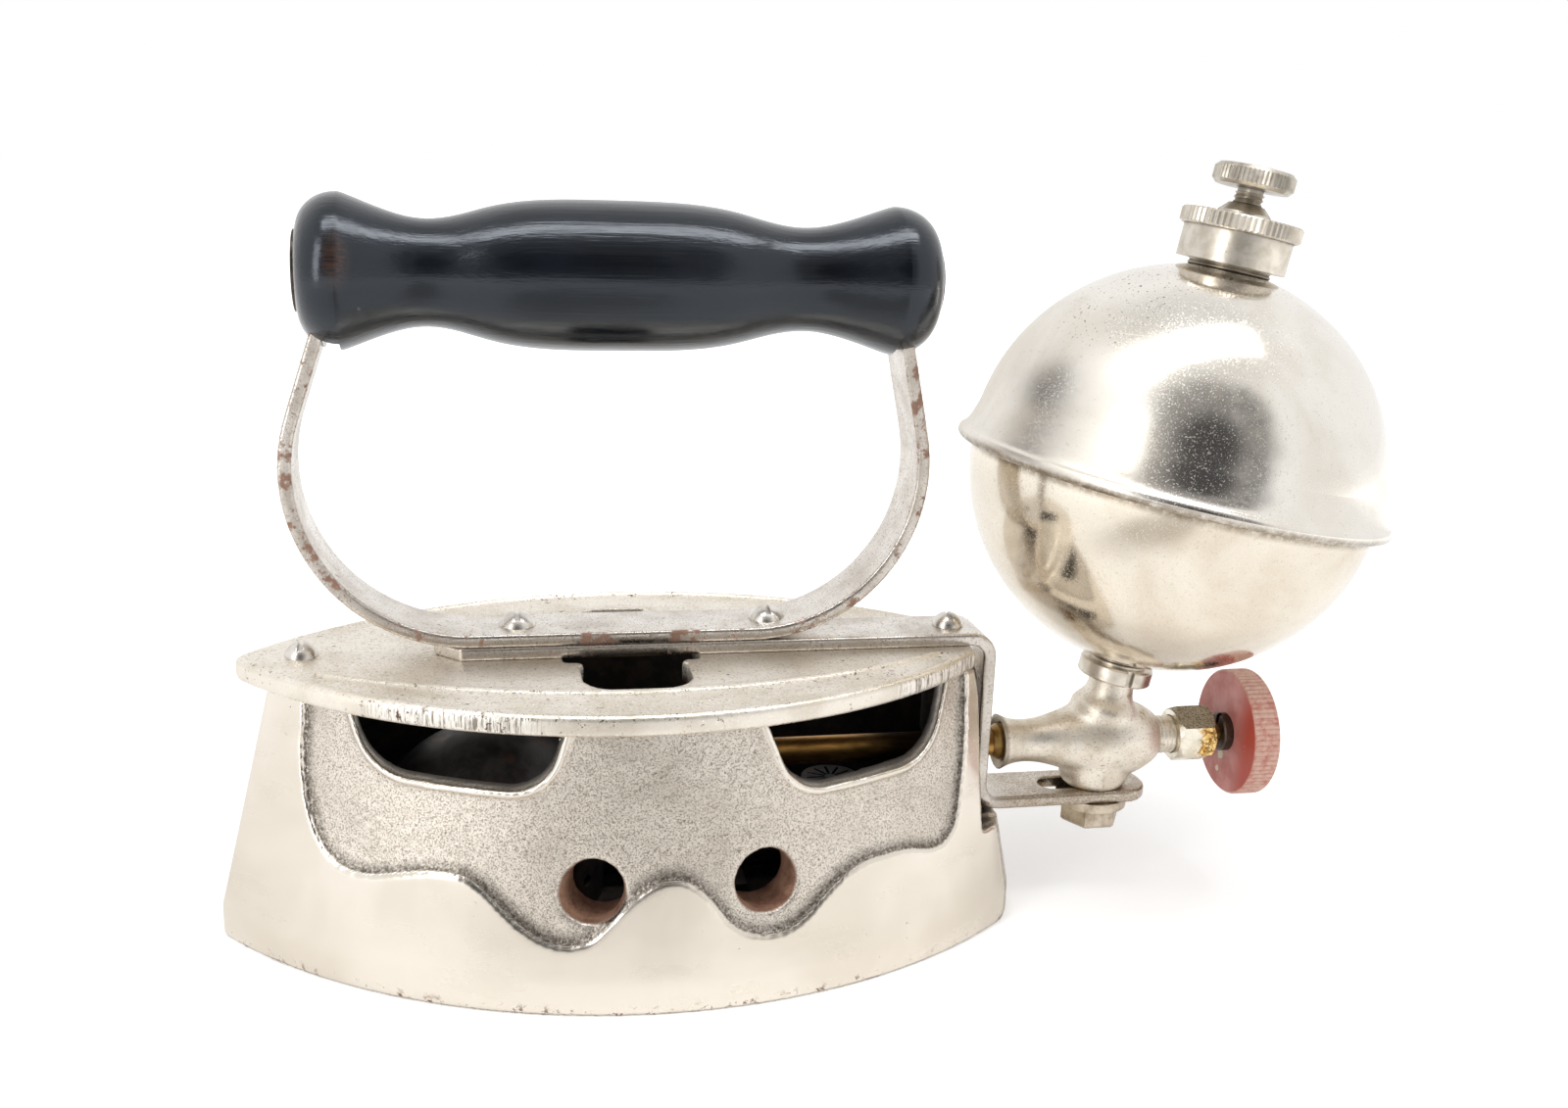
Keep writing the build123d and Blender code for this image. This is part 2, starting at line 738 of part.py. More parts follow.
with BuildPart() as grip:
    with BuildSketch(grip_section):
        with BuildLine():
            EllipticalCenterArc(
                (grip_front_bulge_x, grip_end_radius),
                grip_front_bulge_x - grip_front_x,
                grip_front_bulge_radius - grip_end_radius,
                start_angle=90,
                arc_size=90,
            )
            Spline(
                (grip_front_bulge_x, grip_front_bulge_radius),
                (grip_front_neck_x, grip_front_neck_radius),
                (grip_front_shoulder_x, grip_front_shoulder_radius),
                (grip_middle_x, grip_middle_radius),
                (grip_rear_shoulder_x, grip_rear_shoulder_radius),
                (grip_rear_neck_x, grip_rear_neck_radius),
                (grip_rear_bulge_x, grip_rear_bulge_radius),
                tangents=[(1, 0), (1, 0)],
                tangent_scalars=[grip_bulge_share, grip_bulge_share],
            )
            EllipticalCenterArc(
                (grip_rear_bulge_x, grip_end_radius),
                grip_rear_x - grip_rear_bulge_x,
                grip_rear_bulge_radius - grip_end_radius,
                start_angle=0,
                arc_size=90,
            )
            Polyline(
                (grip_front_x, grip_end_radius),
                (grip_front_x, 0),
                (grip_rear_x, 0),
                (grip_rear_x, grip_end_radius),
            )
        make_face()
    revolve(axis=grip_axis)
    with BuildSketch(Plane.XY.offset(grip_axis_z + strap_tip_above_rod + grip_slot_clearance)):
        with Locations((strap_front_tip_x, 0), (strap_rear_tip_x, 0)):
            Rectangle(
                strap_thickness + 2 * grip_slot_clearance, strap_width + 2 * grip_slot_clearance
            )
    extrude(amount=-2 * grip_middle_radius, mode=Mode.SUBTRACT)
    add(handle_strap.part, mode=Mode.SUBTRACT)
    with BuildSketch(Plane.YZ.offset(grip_front_x)):
        with Locations((0, grip_axis_z)):
            Circle(grip_rod_radius + screw_hole_clearance)
    extrude(amount=grip_rear_x - grip_front_x, mode=Mode.SUBTRACT)
grip.part.label = "grip"
export_step(grip.part, "parts/grip.step")

rod_front_x = grip_front_x - grip_washer_thickness
rod_rear_x = grip_rear_x + grip_washer_thickness
with BuildPart() as grip_rod:
    with BuildSketch(Plane.YZ.offset(rod_front_x)):
        with Locations((0, grip_axis_z)):
            Circle(grip_rod_radius)
    extrude(amount=rod_rear_x - rod_front_x)
grip_rod.part.label = "grip_rod"
export_step(grip_rod.part, "parts/grip_rod.step")

with BuildPart() as grip_washers:
    for x in (rod_front_x, grip_rear_x):
        with BuildSketch(Plane.YZ.offset(x)):
            with Locations((0, grip_axis_z)):
                Circle(grip_washer_radius)
                Circle(grip_rod_radius, mode=Mode.SUBTRACT)
        extrude(amount=grip_washer_thickness)
grip_washers.part.label = "grip_washers"
export_step(grip_washers.part, "parts/grip_washers.step")


def on_sphere(radius, across=None, up=None):
    """A place on a half section of a sphere, from its distance to the axis or its height."""
    if up is None:
        return (across, math.sqrt(radius**2 - across**2))
    return (math.sqrt(radius**2 - up**2), up)


tank_upper_inner = tank_upper_radius - tank_sheet
tank_lower_inner = tank_lower_radius - tank_sheet
flange_bottom = seam_flange_top + seam_flange_thickness
roll_bottom = flange_bottom + tank_sheet
roll_inner_radius = tank_lower_radius + seam_roll_clearance
roll_radius = roll_bottom / 2

with BuildPart() as tank_upper_shell:
    with BuildSketch(tank_section):
        with BuildLine():
            flare_start = on_sphere(tank_upper_radius, up=seam_flare_height)
            top_outer = on_sphere(tank_upper_radius, across=neck_outer_radius)
            top_inner = on_sphere(tank_upper_inner, across=neck_outer_radius)
            low_inner = on_sphere(tank_upper_inner, up=-seam_flange_top)
            RadiusArc(top_outer, flare_start, tank_upper_radius)
            roll = CenterArc(
                (seam_bead_radius - roll_radius, -roll_radius),
                roll_radius,
                seam_roll_start,
                -90 - seam_roll_start,
            )
            Spline(
                flare_start,
                roll @ 0,
                tangents=[(flare_start[1], -flare_start[0]), roll % 0],
                tangent_scalars=[seam_flare_share, seam_flare_share],
            )
            Polyline(
                roll @ 1,
                (roll_inner_radius, -roll_bottom),
                (roll_inner_radius, -flange_bottom),
                (seam_flange_radius, -flange_bottom),
                (seam_flange_radius, -seam_flange_top),
                low_inner,
            )
            RadiusArc(low_inner, top_inner, -tank_upper_inner)
            Line(top_inner, top_outer)
        make_face()
    revolve(axis=tank_axis)
tank_upper_shell.part.label = "tank_upper_shell"
export_step(tank_upper_shell.part, "parts/tank_upper_shell.step")

with BuildPart() as tank_lower_shell:
    with BuildSketch(tank_section):
        with BuildLine():
            rim_inner = on_sphere(tank_lower_inner, up=-seam_flange_top)
            rim_outer = on_sphere(tank_lower_radius, up=-flange_bottom)
            foot_outer = on_sphere(tank_lower_radius, across=spud_radius)
            foot_inner = on_sphere(tank_lower_inner, across=spud_radius)
            foot_outer = (foot_outer[0], -foot_outer[1])
            foot_inner = (foot_inner[0], -foot_inner[1])
            Polyline(
                rim_inner,
                (seam_flange_radius, -seam_flange_top),
                (seam_flange_radius, -flange_bottom),
                rim_outer,
            )
            RadiusArc(rim_outer, foot_outer, tank_lower_radius)
            Line(foot_outer, foot_inner)
            RadiusArc(foot_inner, rim_inner, -tank_lower_inner)
        make_face()
    revolve(axis=tank_axis)
tank_lower_shell.part.label = "tank_lower_shell"
export_step(tank_lower_shell.part, "parts/tank_lower_shell.step")

neck_thread_foot = cap_bottom - neck_thread_reach
with BuildPart() as filler_neck:
    thread = threaded(neck_thread_foot, neck_top, neck_outer_radius, neck_thread_pitch)
    turned(tank_section, tank_axis, [
        (neck_bore_radius, neck_foot),
        (neck_outer_radius, neck_foot),
        *thread,
        (neck_bore_radius, neck_top),
    ])
filler_neck.part.label = "filler_neck"
export_step(filler_neck.part, "parts/filler_neck.step")

cap_bore_radius = neck_outer_radius + fit_clearance
cap_ceiling = neck_top + gasket_thickness
gland_seat = cap_ceiling + gland_seat_height
gland_bore_radius = vent_thread_radius + fit_clearance
with BuildPart() as cap_gasket:
    turned(tank_section, tank_axis, [
        (neck_bore_radius, neck_top),
        (neck_outer_radius - gasket_side_clearance, neck_top),
        (neck_outer_radius - gasket_side_clearance, cap_ceiling),
        (neck_bore_radius, cap_ceiling),
    ])
cap_gasket.part.label = "cap_gasket"
export_step(cap_gasket.part, "parts/cap_gasket.step")


def disc_plane(height):
    """The plane square to the tank axis at a height above the tank centre."""
    return Plane(origin=tank_centre, x_dir=tank_across, z_dir=tank_up).offset(height)


def edge_cut(outer_radius, bottom, top, edge):
    """Bevel both rims of a ribbed disc on the tank axis, in the part that is open."""
    reach = outer_radius + overrun
    for rim, inward in ((bottom, 1), (top, -1)):
        turned(tank_section, tank_axis, [
            (outer_radius - edge, rim),
            (reach, rim),
            (reach, rim + inward * (edge + overrun)),
        ], mode=Mode.SUBTRACT)


with BuildPart() as filler_cap:
    with BuildSketch(disc_plane(cap_disc_bottom)):
        knurled_disc(cap_disc_radius, cap_rib_depth, cap_rib_count)
    extrude(amount=cap_disc_top - cap_disc_bottom)
    edge_cut(cap_disc_radius, cap_disc_bottom, cap_disc_top, cap_edge)
    turned(tank_section, tank_axis, [
        (0, cap_bottom),
        (cap_barrel_radius, cap_bottom),
        (cap_barrel_radius, cap_disc_bottom),
        (0, cap_disc_bottom),
    ])
    with BuildSketch(disc_plane(cap_bottom)):
        Circle(cap_bore_radius)
    extrude(amount=cap_ceiling - cap_bottom, mode=Mode.SUBTRACT)
    with BuildSketch(disc_plane(cap_bottom)):
        Circle(gland_shank_radius)
    extrude(amount=cap_disc_top - cap_bottom, mode=Mode.SUBTRACT)
filler_cap.part.label = "filler_cap"
export_step(filler_cap.part, "parts/filler_cap.step")

with BuildPart() as vent_gland:
    gland_top = cap_disc_top + gland_height
    turned(tank_section, tank_axis, [
        (vent_hole_radius, cap_ceiling),
        (gland_shank_radius, cap_ceiling),
        (gland_shank_radius, cap_disc_top),
        (gland_base_radius, cap_disc_top),
        (gland_base_radius, cap_disc_top + gland_base_height),
        (gland_top_radius, gland_top),
        (gland_bore_radius, gland_top),
        (gland_bore_radius, gland_seat),
        (vent_hole_radius, gland_seat),
    ])
vent_gland.part.label = "vent_gland"
export_step(vent_gland.part, "parts/vent_gland.step")

with BuildPart() as vent_screw:
    with BuildSketch(disc_plane(vent_knob_bottom)):
        knurled_disc(vent_knob_radius, vent_rib_depth, vent_rib_count)
    extrude(amount=vent_knob_top - vent_knob_bottom)
    edge_cut(vent_knob_radius, vent_knob_bottom, vent_knob_top, vent_knob_edge)
    vent_thread_bottom = gland_seat + vent_thread_radius / 2
    thread = threaded(
        vent_thread_bottom, vent_thread_top, vent_thread_radius, neck_thread_pitch
    )
    turned(tank_section, tank_axis, [
        (0, gland_seat + fit_clearance),
        (vent_hole_radius, gland_seat + fit_clearance),
        *thread,
        (vent_neck_radius, vent_thread_top),
        (vent_neck_radius, vent_knob_bottom),
        (0, vent_knob_bottom),
    ])
vent_screw.part.label = "vent_screw"
export_step(vent_screw.part, "parts/vent_screw.step")

with BuildPart() as outlet_spud:
    turned(tank_section, tank_axis, [
        (valve_tip_radius, -collar_top),
        (spud_flange_radius, -collar_top),
        (spud_flange_radius, -spud_flange_top),
        (spud_radius, -spud_flange_top),
        (spud_radius, -spud_top),
        (valve_tip_radius, -spud_top),
    ])
outlet_spud.part.label = "outlet_spud"
export_step(outlet_spud.part, "parts/outlet_spud.step")

with BuildPart() as tank_collar:
    turned(tank_section, tank_axis, [
        (valve_neck_radius, -collar_bottom),
        (collar_radius - collar_edge, -collar_bottom),
        (collar_radius, -collar_bottom + collar_edge),
        (collar_radius, -collar_top - collar_edge),
        (collar_radius - collar_edge, -collar_top),
        (valve_neck_radius, -collar_top),
    ])
    with BuildSketch(disc_plane(-collar_bottom)):
        with PolarLocations(collar_radius, 2, start_angle=90):
            Rectangle(2 * collar_notch_depth, collar_notch_width)
    extrude(amount=collar_bottom - collar_top, mode=Mode.SUBTRACT)
tank_collar.part.label = "tank_collar"
export_step(tank_collar.part, "parts/tank_collar.step")

with BuildPart() as valve_body:
    with BuildSketch(valve_section):
        with BuildLine():
            bulb = Spline(
                (valve_end_x, valve_end_radius),
                (valve_waist_x, valve_waist_radius),
                (valve_flare_x, valve_flare_radius),
                (valve_x, valve_bulb_radius),
                (valve_flank_x, valve_flank_radius),
                (valve_shoulder_x, valve_shoulder_radius),
            )
            crests = threaded(
                valve_shoulder_x, valve_thread_end_x, valve_thread_radius, neck_thread_pitch
            )
            nose = [(along, out) for out, along in reversed(crests)]
            Polyline(
                bulb @ 0, (valve_end_x, 0), (valve_thread_end_x, 0), *nose, bulb @ 1
            )
        make_face()
    revolve(axis=valve_axis)
    neck_low = -valve_below_tank
    neck_rise = valve_below_tank - collar_bottom
    turned(tank_section, tank_axis, [
        (0, neck_low),
        (valve_neck_foot_radius, neck_low),
        (valve_neck_foot_radius, neck_low + valve_neck_low_share * neck_rise),
        (valve_neck_mid_radius, neck_low + valve_neck_high_share * neck_rise),
        (valve_neck_radius, -collar_bottom),
        (valve_neck_radius, -collar_top),
        (valve_tip_radius, -collar_top),
        (valve_tip_radius, -valve_tip_top),
        (0, -valve_tip_top),
    ])
    with BuildSketch(Plane.XY.offset(foot_top)):
        with Locations((valve_x, 0)):
            Circle(valve_hub_radius - valve_hub_edge)
    with BuildSketch(Plane.XY.offset(foot_top + valve_hub_edge)):
        with Locations((valve_x, 0)):
            Circle(valve_hub_radius)
    loft()
    with BuildSketch(Plane.XY.offset(foot_top + valve_hub_edge)):
        with Locations((valve_x, 0)):
            Circle(valve_hub_radius)
    extrude(amount=valve_hub_height)
    with BuildSketch(Plane.XY.offset(foot_top)):
        with Locations((valve_x, 0)):
            Circle(bolt_radius)
    extrude(amount=bolt_grip, mode=Mode.SUBTRACT)
    with BuildSketch(Plane.YZ.offset(valve_end_x)):
        with Locations((0, valve_z)):
            Circle(valve_socket_radius)
    extrude(amount=valve_socket_depth, mode=Mode.SUBTRACT)
    turned(valve_section, valve_axis, [
        (valve_end_x, 0),
        (valve_end_x, valve_end_radius - valve_end_lip),
        (valve_end_x + valve_end_sink, valve_socket_radius),
        (valve_end_x + valve_end_sink, 0),
    ], mode=Mode.SUBTRACT)
    with BuildSketch(Plane.YZ.offset(valve_end_x)):
        with Locations((0, valve_z)):
            Circle(tube_radius)
    extrude(amount=valve_tube_depth, mode=Mode.SUBTRACT)
    with BuildSketch(Plane.YZ.offset(valve_end_x)):
        with Locations((0, valve_z)):
            Circle(valve_passage_radius)
    extrude(amount=valve_thread_end_x - valve_end_x, mode=Mode.SUBTRACT)
    with BuildSketch(Plane.YZ.offset(valve_chamber_x)):
        with Locations((0, valve_z)):
            Circle(valve_chamber_radius)
    extrude(amount=valve_thread_end_x - valve_chamber_x, mode=Mode.SUBTRACT)
    with BuildSketch(disc_plane(-valve_below_tank)):
        Circle(valve_passage_radius)
    extrude(amount=valve_below_tank - valve_tip_top, mode=Mode.SUBTRACT)
valve_body.part.label = "valve_body"
export_step(valve_body.part, "parts/valve_body.step")


def along_valve(points, mode=Mode.ADD):
    """Turn a profile of (place along the valve axis, radius) in the part that is open."""
    turned(valve_section, valve_axis, points, mode)


stem_bore_radius = stem_radius + screw_hole_clearance
with BuildPart() as stem_packing:
    along_valve([
        (packing_front_x, stem_bore_radius),
        (packing_front_x, valve_chamber_radius),
        (nut_front_x + nut_thread_depth, valve_chamber_radius),
        (nut_front_x + nut_thread_depth, stem_bore_radius),
    ])
stem_packing.part.label = "stem_packing"
export_step(stem_packing.part, "parts/stem_packing.step")

with BuildPart() as packing_nut:
    nut_corner_radius = nut_across_flats / math.sqrt(3)
    with BuildSketch(Plane.YZ.offset(nut_front_x)):
        with Locations((0, valve_z)):
            RegularPolygon(nut_across_flats / 2, 6, major_radius=False, rotation=30)
    extrude(amount=nut_rear_x - nut_front_x)
    for face_x, inward in ((nut_front_x, 1), (nut_rear_x, -1)):
        along_valve([
            (face_x, nut_corner_radius - nut_bevel),
            (face_x, nut_corner_radius + nut_bevel),
            (face_x + 2 * inward * nut_bevel, nut_corner_radius + nut_bevel),
        ], mode=Mode.SUBTRACT)
    with BuildSketch(Plane.YZ.offset(nut_front_x)):
        with Locations((0, valve_z)):
            Circle(valve_thread_radius)
    extrude(amount=nut_thread_depth, mode=Mode.SUBTRACT)
    with BuildSketch(Plane.YZ.offset(nut_front_x)):
        with Locations((0, valve_z)):
            Circle(stem_bore_radius)
    extrude(amount=nut_rear_x - nut_front_x, mode=Mode.SUBTRACT)
packing_nut.part.label = "packing_nut"
export_step(packing_nut.part, "parts/packing_nut.step")

wheel_rear_x = wheel_front_x + wheel_thickness
wheel_seat_x = wheel_rear_x - wheel_dish_depth
with BuildPart() as valve_stem:
    stem_thread_radius = valve_chamber_radius - fit_clearance
    crests = threaded(
        stem_thread_front_x, stem_thread_rear_x, stem_thread_radius, neck_thread_pitch
    )
    along_valve([
        (stem_tip_x, 0),
        (stem_tip_x + stem_cone_length, stem_radius),
        (stem_thread_front_x, stem_radius),
        *[(along, out) for out, along in crests],
        (stem_thread_rear_x, stem_radius),
        (wheel_seat_x, stem_radius),
        (wheel_seat_x, wheel_screw_shank_radius),
        (wheel_seat_x - wheel_screw_length, wheel_screw_shank_radius),
        (wheel_seat_x - wheel_screw_length, 0),
    ])
valve_stem.part.label = "valve_stem"
export_step(valve_stem.part, "parts/valve_stem.step")

with BuildPart() as wheel_nut:
    wheel_nut_front_x = wheel_front_x - wheel_nut_thickness
    along_valve([
        (wheel_nut_front_x, stem_radius),
        (wheel_nut_front_x, wheel_nut_radius - collar_edge),
        (wheel_nut_front_x + collar_edge, wheel_nut_radius),
        (wheel_front_x, wheel_nut_radius),
        (wheel_front_x, stem_radius),
    ])
    with BuildSketch(Plane.YZ.offset(wheel_nut_front_x)):
        with Locations((0, valve_z)):
            Rectangle(wheel_nut_slot_width, 2 * wheel_nut_radius)
    extrude(amount=wheel_nut_slot_depth, mode=Mode.SUBTRACT)
wheel_nut.part.label = "wheel_nut"
export_step(wheel_nut.part, "parts/wheel_nut.step")

with BuildPart() as hand_wheel:
    with BuildSketch(Plane(origin=(wheel_front_x, 0, valve_z), x_dir=(0, 1, 0), z_dir=(1, 0, 0))):
        knurled_disc(wheel_radius, wheel_rib_depth, wheel_rib_count)
        Circle(stem_radius, mode=Mode.SUBTRACT)
    extrude(amount=wheel_thickness)
    for face_x, inward in ((wheel_front_x, 1), (wheel_rear_x, -1)):
        along_valve([
            (face_x, wheel_radius - wheel_edge),
            (face_x, wheel_radius + overrun),
            (face_x + inward * (wheel_edge + overrun), wheel_radius + overrun),
        ], mode=Mode.SUBTRACT)
    along_valve([
        (wheel_seat_x, 0),
        (wheel_seat_x, wheel_dish_radius),
        (wheel_rear_x, wheel_dish_radius + wheel_dish_depth),
        (wheel_rear_x, 0),
    ], mode=Mode.SUBTRACT)
hand_wheel.part.label = "hand_wheel"
export_step(hand_wheel.part, "parts/hand_wheel.step")

wheel_screw = slotted_screw(
    Plane(origin=(wheel_seat_x, 0, valve_z), x_dir=(0, 1, 0), z_dir=(1, 0, 0)),
    wheel_screw_head_radius,
    wheel_screw_head_height,
    wheel_screw_shank_radius,
    wheel_screw_length,
    wheel_screw_slot_width,
    wheel_screw_slot_depth,
)
wheel_screw.label = "wheel_screw"
export_step(wheel_screw, "parts/wheel_screw.step")

washer_underside_z = foot_underside_z - washer_thickness
with BuildPart() as bolt_washer:
    with BuildSketch(Plane.XY.offset(washer_underside_z)):
        with Locations((valve_x, 0)):
            Circle(washer_radius)
            Circle(bolt_radius, mode=Mode.SUBTRACT)
    extrude(amount=washer_thickness)
bolt_washer.part.label = "bolt_washer"
export_step(bolt_washer.part, "parts/bolt_washer.step")

with BuildPart() as valve_bolt:
    with BuildSketch(Plane.XY.offset(washer_underside_z - bolt_head_height)):
        with Locations((valve_x, 0)):
            RegularPolygon(bolt_head_across_flats / 2, 6, major_radius=False)
    extrude(amount=bolt_head_height)
    chamfer(faces().sort_by(Axis.Z)[0].edges(), bolt_head_bevel)
    with BuildSketch(Plane.XY.offset(washer_underside_z)):
        with Locations((valve_x, 0)):
            Circle(bolt_radius)
    extrude(amount=washer_thickness + bracket_thickness + bolt_grip)
valve_bolt.part.label = "valve_bolt"
export_step(valve_bolt.part, "parts/valve_bolt.step")

tube_rear_x = valve_end_x + valve_tube_depth
tube_front_x = block_front_x + block_length - block_tube_depth
with BuildPart() as generator_tube:
    with BuildSketch(Plane.YZ.offset(tube_front_x)):
        with Locations((0, valve_z)):
            Circle(tube_radius)
            Circle(tube_bore_radius, mode=Mode.SUBTRACT)
    extrude(amount=tube_rear_x - tube_front_x)
generator_tube.part.label = "generator_tube"
export_step(generator_tube.part, "parts/generator_tube.step")

with BuildPart() as tube_ferrule:
    ferrule_rear_x = valve_end_x + valve_socket_depth
    along_valve([
        (ferrule_front_x, tube_radius),
        (ferrule_front_x, tube_radius + tube_hole_clearance),
        (ferrule_front_x + ferrule_taper, ferrule_radius),
        (ferrule_rear_x, ferrule_radius),
        (ferrule_rear_x, tube_radius),
    ])
tube_ferrule.part.label = "tube_ferrule"
export_step(tube_ferrule.part, "parts/tube_ferrule.step")

jet_x = block_front_x + block_length / 2
block_underside_z = valve_z - block_height / 2
with BuildPart() as generator_block:
    with BuildSketch(Plane.XY.offset(block_underside_z)):
        with Locations((jet_x, 0)):
            Rectangle(block_length, block_width)
    extrude(amount=block_height)
    fillet(edges(), block_edge_radius)
    with BuildSketch(Plane.YZ.offset(tube_front_x)):
        with Locations((0, valve_z)):
            Circle(tube_radius)
    extrude(amount=block_length, mode=Mode.SUBTRACT)
    with BuildSketch(Plane.YZ.offset(jet_x)):
        with Locations((0, valve_z)):
            Circle(block_passage_radius)
    extrude(amount=block_length / 2, mode=Mode.SUBTRACT)
    with BuildSketch(Plane.XY.offset(block_underside_z)):
        with Locations((jet_x, 0)):
            Circle(block_passage_radius)
    extrude(amount=block_height / 2, mode=Mode.SUBTRACT)
    with BuildSketch(Plane.XY.offset(block_underside_z)):
        with Locations((jet_x, 0)):
            Circle(jet_thread_radius)
    extrude(amount=jet_thread_length, mode=Mode.SUBTRACT)
generator_block.part.label = "generator_block"
export_step(generator_block.part, "parts/generator_block.step")

with BuildPart() as jet_nipple:
    with BuildSketch(Plane.XY.offset(block_underside_z)):
        with Locations((jet_x, 0)):
            RegularPolygon(jet_across_flats / 2, 6, major_radius=False)
    extrude(amount=-jet_hex_height)
    with BuildSketch(Plane.XY.offset(block_underside_z)):
        with Locations((jet_x, 0)):
            Circle(jet_thread_radius)
    extrude(amount=jet_thread_length)
    with BuildSketch(Plane.XY.offset(block_underside_z - jet_hex_height)):
        with Locations((jet_x, 0)):
            Circle(jet_thread_radius)
    with BuildSketch(Plane.XY.offset(block_underside_z - jet_hex_height - jet_tip_height)):
        with Locations((jet_x, 0)):
            Circle(jet_tip_radius)
    loft()
    with BuildSketch(Plane.XY.offset(block_underside_z + jet_thread_length)):
        with Locations((jet_x, 0)):
            Circle(jet_hole_radius)
    extrude(amount=-jet_thread_length - jet_hex_height - jet_tip_height, mode=Mode.SUBTRACT)
jet_nipple.part.label = "jet_nipple"
export_step(jet_nipple.part, "parts/jet_nipple.step")

dome_section = Plane(origin=(dome_x, 0, floor_thickness), x_dir=(1, 0, 0), z_dir=(0, -1, 0))
dome_axis = Axis((dome_x, 0, floor_thickness), (0, 0, 1))
duct_z = floor_thickness + duct_height
with BuildPart() as burner_body:
    dome_rise = dome_top_z - floor_thickness
    spring_line = dome_rise - dome_radius
    with BuildSketch(dome_section):
        with BuildLine():
            Line((0, 0), (dome_radius, 0))
            Line((dome_radius, 0), (dome_radius, spring_line))
            RadiusArc((dome_radius, spring_line), (0, dome_rise), -dome_radius)
            Line((0, dome_rise), (0, 0))
        make_face()
    revolve(axis=dome_axis)
    with BuildSketch(Plane.YZ.offset(dome_x)):
        with Locations((0, duct_z)):
            Circle(duct_radius)
    extrude(amount=riser_x - dome_x)
    with BuildSketch(Plane.XY.offset(duct_z)):
        with Locations((jet_x, 0)):
            Circle(throat_radius)
    extrude(amount=throat_top_z - duct_z)
    with BuildSketch(Plane.XY.offset(floor_thickness)):
        with Locations((riser_x, 0)):
            Circle(riser_radius)
    extrude(amount=riser_top_z - floor_thickness)
    with BuildSketch(Plane.XY.offset(floor_thickness)):
        with Locations((lug_x, 0)):
            Rectangle(lug_length, lug_width)
    extrude(amount=lug_thickness)
    with BuildSketch(dome_section):
        with BuildLine():
            hollow_radius = dome_radius - dome_wall
            Line((0, dome_base), (hollow_radius, dome_base))
            Line((hollow_radius, dome_base), (hollow_radius, spring_line))
            RadiusArc((hollow_radius, spring_line), (0, dome_rise - dome_wall), -hollow_radius)
            Line((0, dome_rise - dome_wall), (0, dome_base))
        make_face()
    revolve(axis=dome_axis, mode=Mode.SUBTRACT)
    with BuildSketch(Plane.YZ.offset(dome_x)):
        with Locations((0, duct_z)):
            Circle(duct_bore_radius)
    extrude(amount=riser_x - dome_x, mode=Mode.SUBTRACT)
    with BuildSketch(Plane.XY.offset(duct_z)):
        with Locations((jet_x, 0)):
            Circle(throat_bore_radius)
    extrude(amount=throat_top_z - duct_z, mode=Mode.SUBTRACT)
    with BuildSketch(Plane.XY.offset(floor_thickness + dome_base)):
        with Locations((riser_x, 0)):
            Circle(riser_bore_radius)
    extrude(amount=riser_top_z - floor_thickness, mode=Mode.SUBTRACT)
    with BuildSketch(Plane.XY.offset(floor_thickness)):
        with Locations((lug_x, burner_screw_y), (lug_x, -burner_screw_y)):
            Circle(burner_screw_shank_radius + screw_hole_clearance)
    extrude(amount=lug_thickness, mode=Mode.SUBTRACT)
    for port in range(dome_port_skip, dome_port_count - dome_port_skip + 1):
        port_turn = 2 * math.pi * port / dome_port_count
        port_plane = Plane(
            origin=(dome_x, 0, floor_thickness + dome_port_height),
            z_dir=(math.cos(port_turn), math.sin(port_turn), 0),
        )
        with BuildSketch(port_plane):
            Circle(dome_port_radius)
        extrude(amount=dome_radius + overrun, mode=Mode.SUBTRACT)
burner_body.part.label = "burner_body"
export_step(burner_body.part, "parts/burner_body.step")

with BuildPart() as burner_cap:
    with BuildSketch(Plane.XY.offset(riser_top_z - cap_spigot_depth)):
        with Locations((riser_x, 0)):
            Circle(riser_bore_radius)
    extrude(amount=cap_spigot_depth)
    with BuildSketch(Plane.XY.offset(riser_top_z)):
        with Locations((riser_x, 0)):
            Circle(cap_plate_radius)
    extrude(amount=cap_plate_thickness)
    with BuildSketch(Plane.XY.offset(riser_top_z - cap_spigot_depth)):
        with Locations((riser_x, 0)):
            with PolarLocations(star_slot_inner_radius + star_slot_length / 2, star_slot_count):
                Rectangle(star_slot_length, star_slot_width)
    extrude(amount=cap_spigot_depth + cap_plate_thickness, mode=Mode.SUBTRACT)
burner_cap.part.label = "burner_cap"
export_step(burner_cap.part, "parts/burner_cap.step")

with BuildPart() as burner_screws:
    for side in (-1, 1):
        add(slotted_screw(
            Plane(origin=(lug_x, side * burner_screw_y, floor_thickness + lug_thickness)),
            burner_screw_head_radius,
            burner_screw_head_height,
            burner_screw_shank_radius,
            burner_screw_length,
            wheel_screw_slot_width,
            wheel_screw_slot_depth,
        ))
burner_screws.part.label = "burner_screws"
export_step(burner_screws.part, "parts/burner_screws.step")
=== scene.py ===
"""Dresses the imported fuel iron: worn plating, rough castings, painted wood and brass, in a white room."""

import itertools
import math

import bmesh
import bpy
import numpy as np
from mathutils import Matrix, Vector
from mathutils.kdtree import KDTree


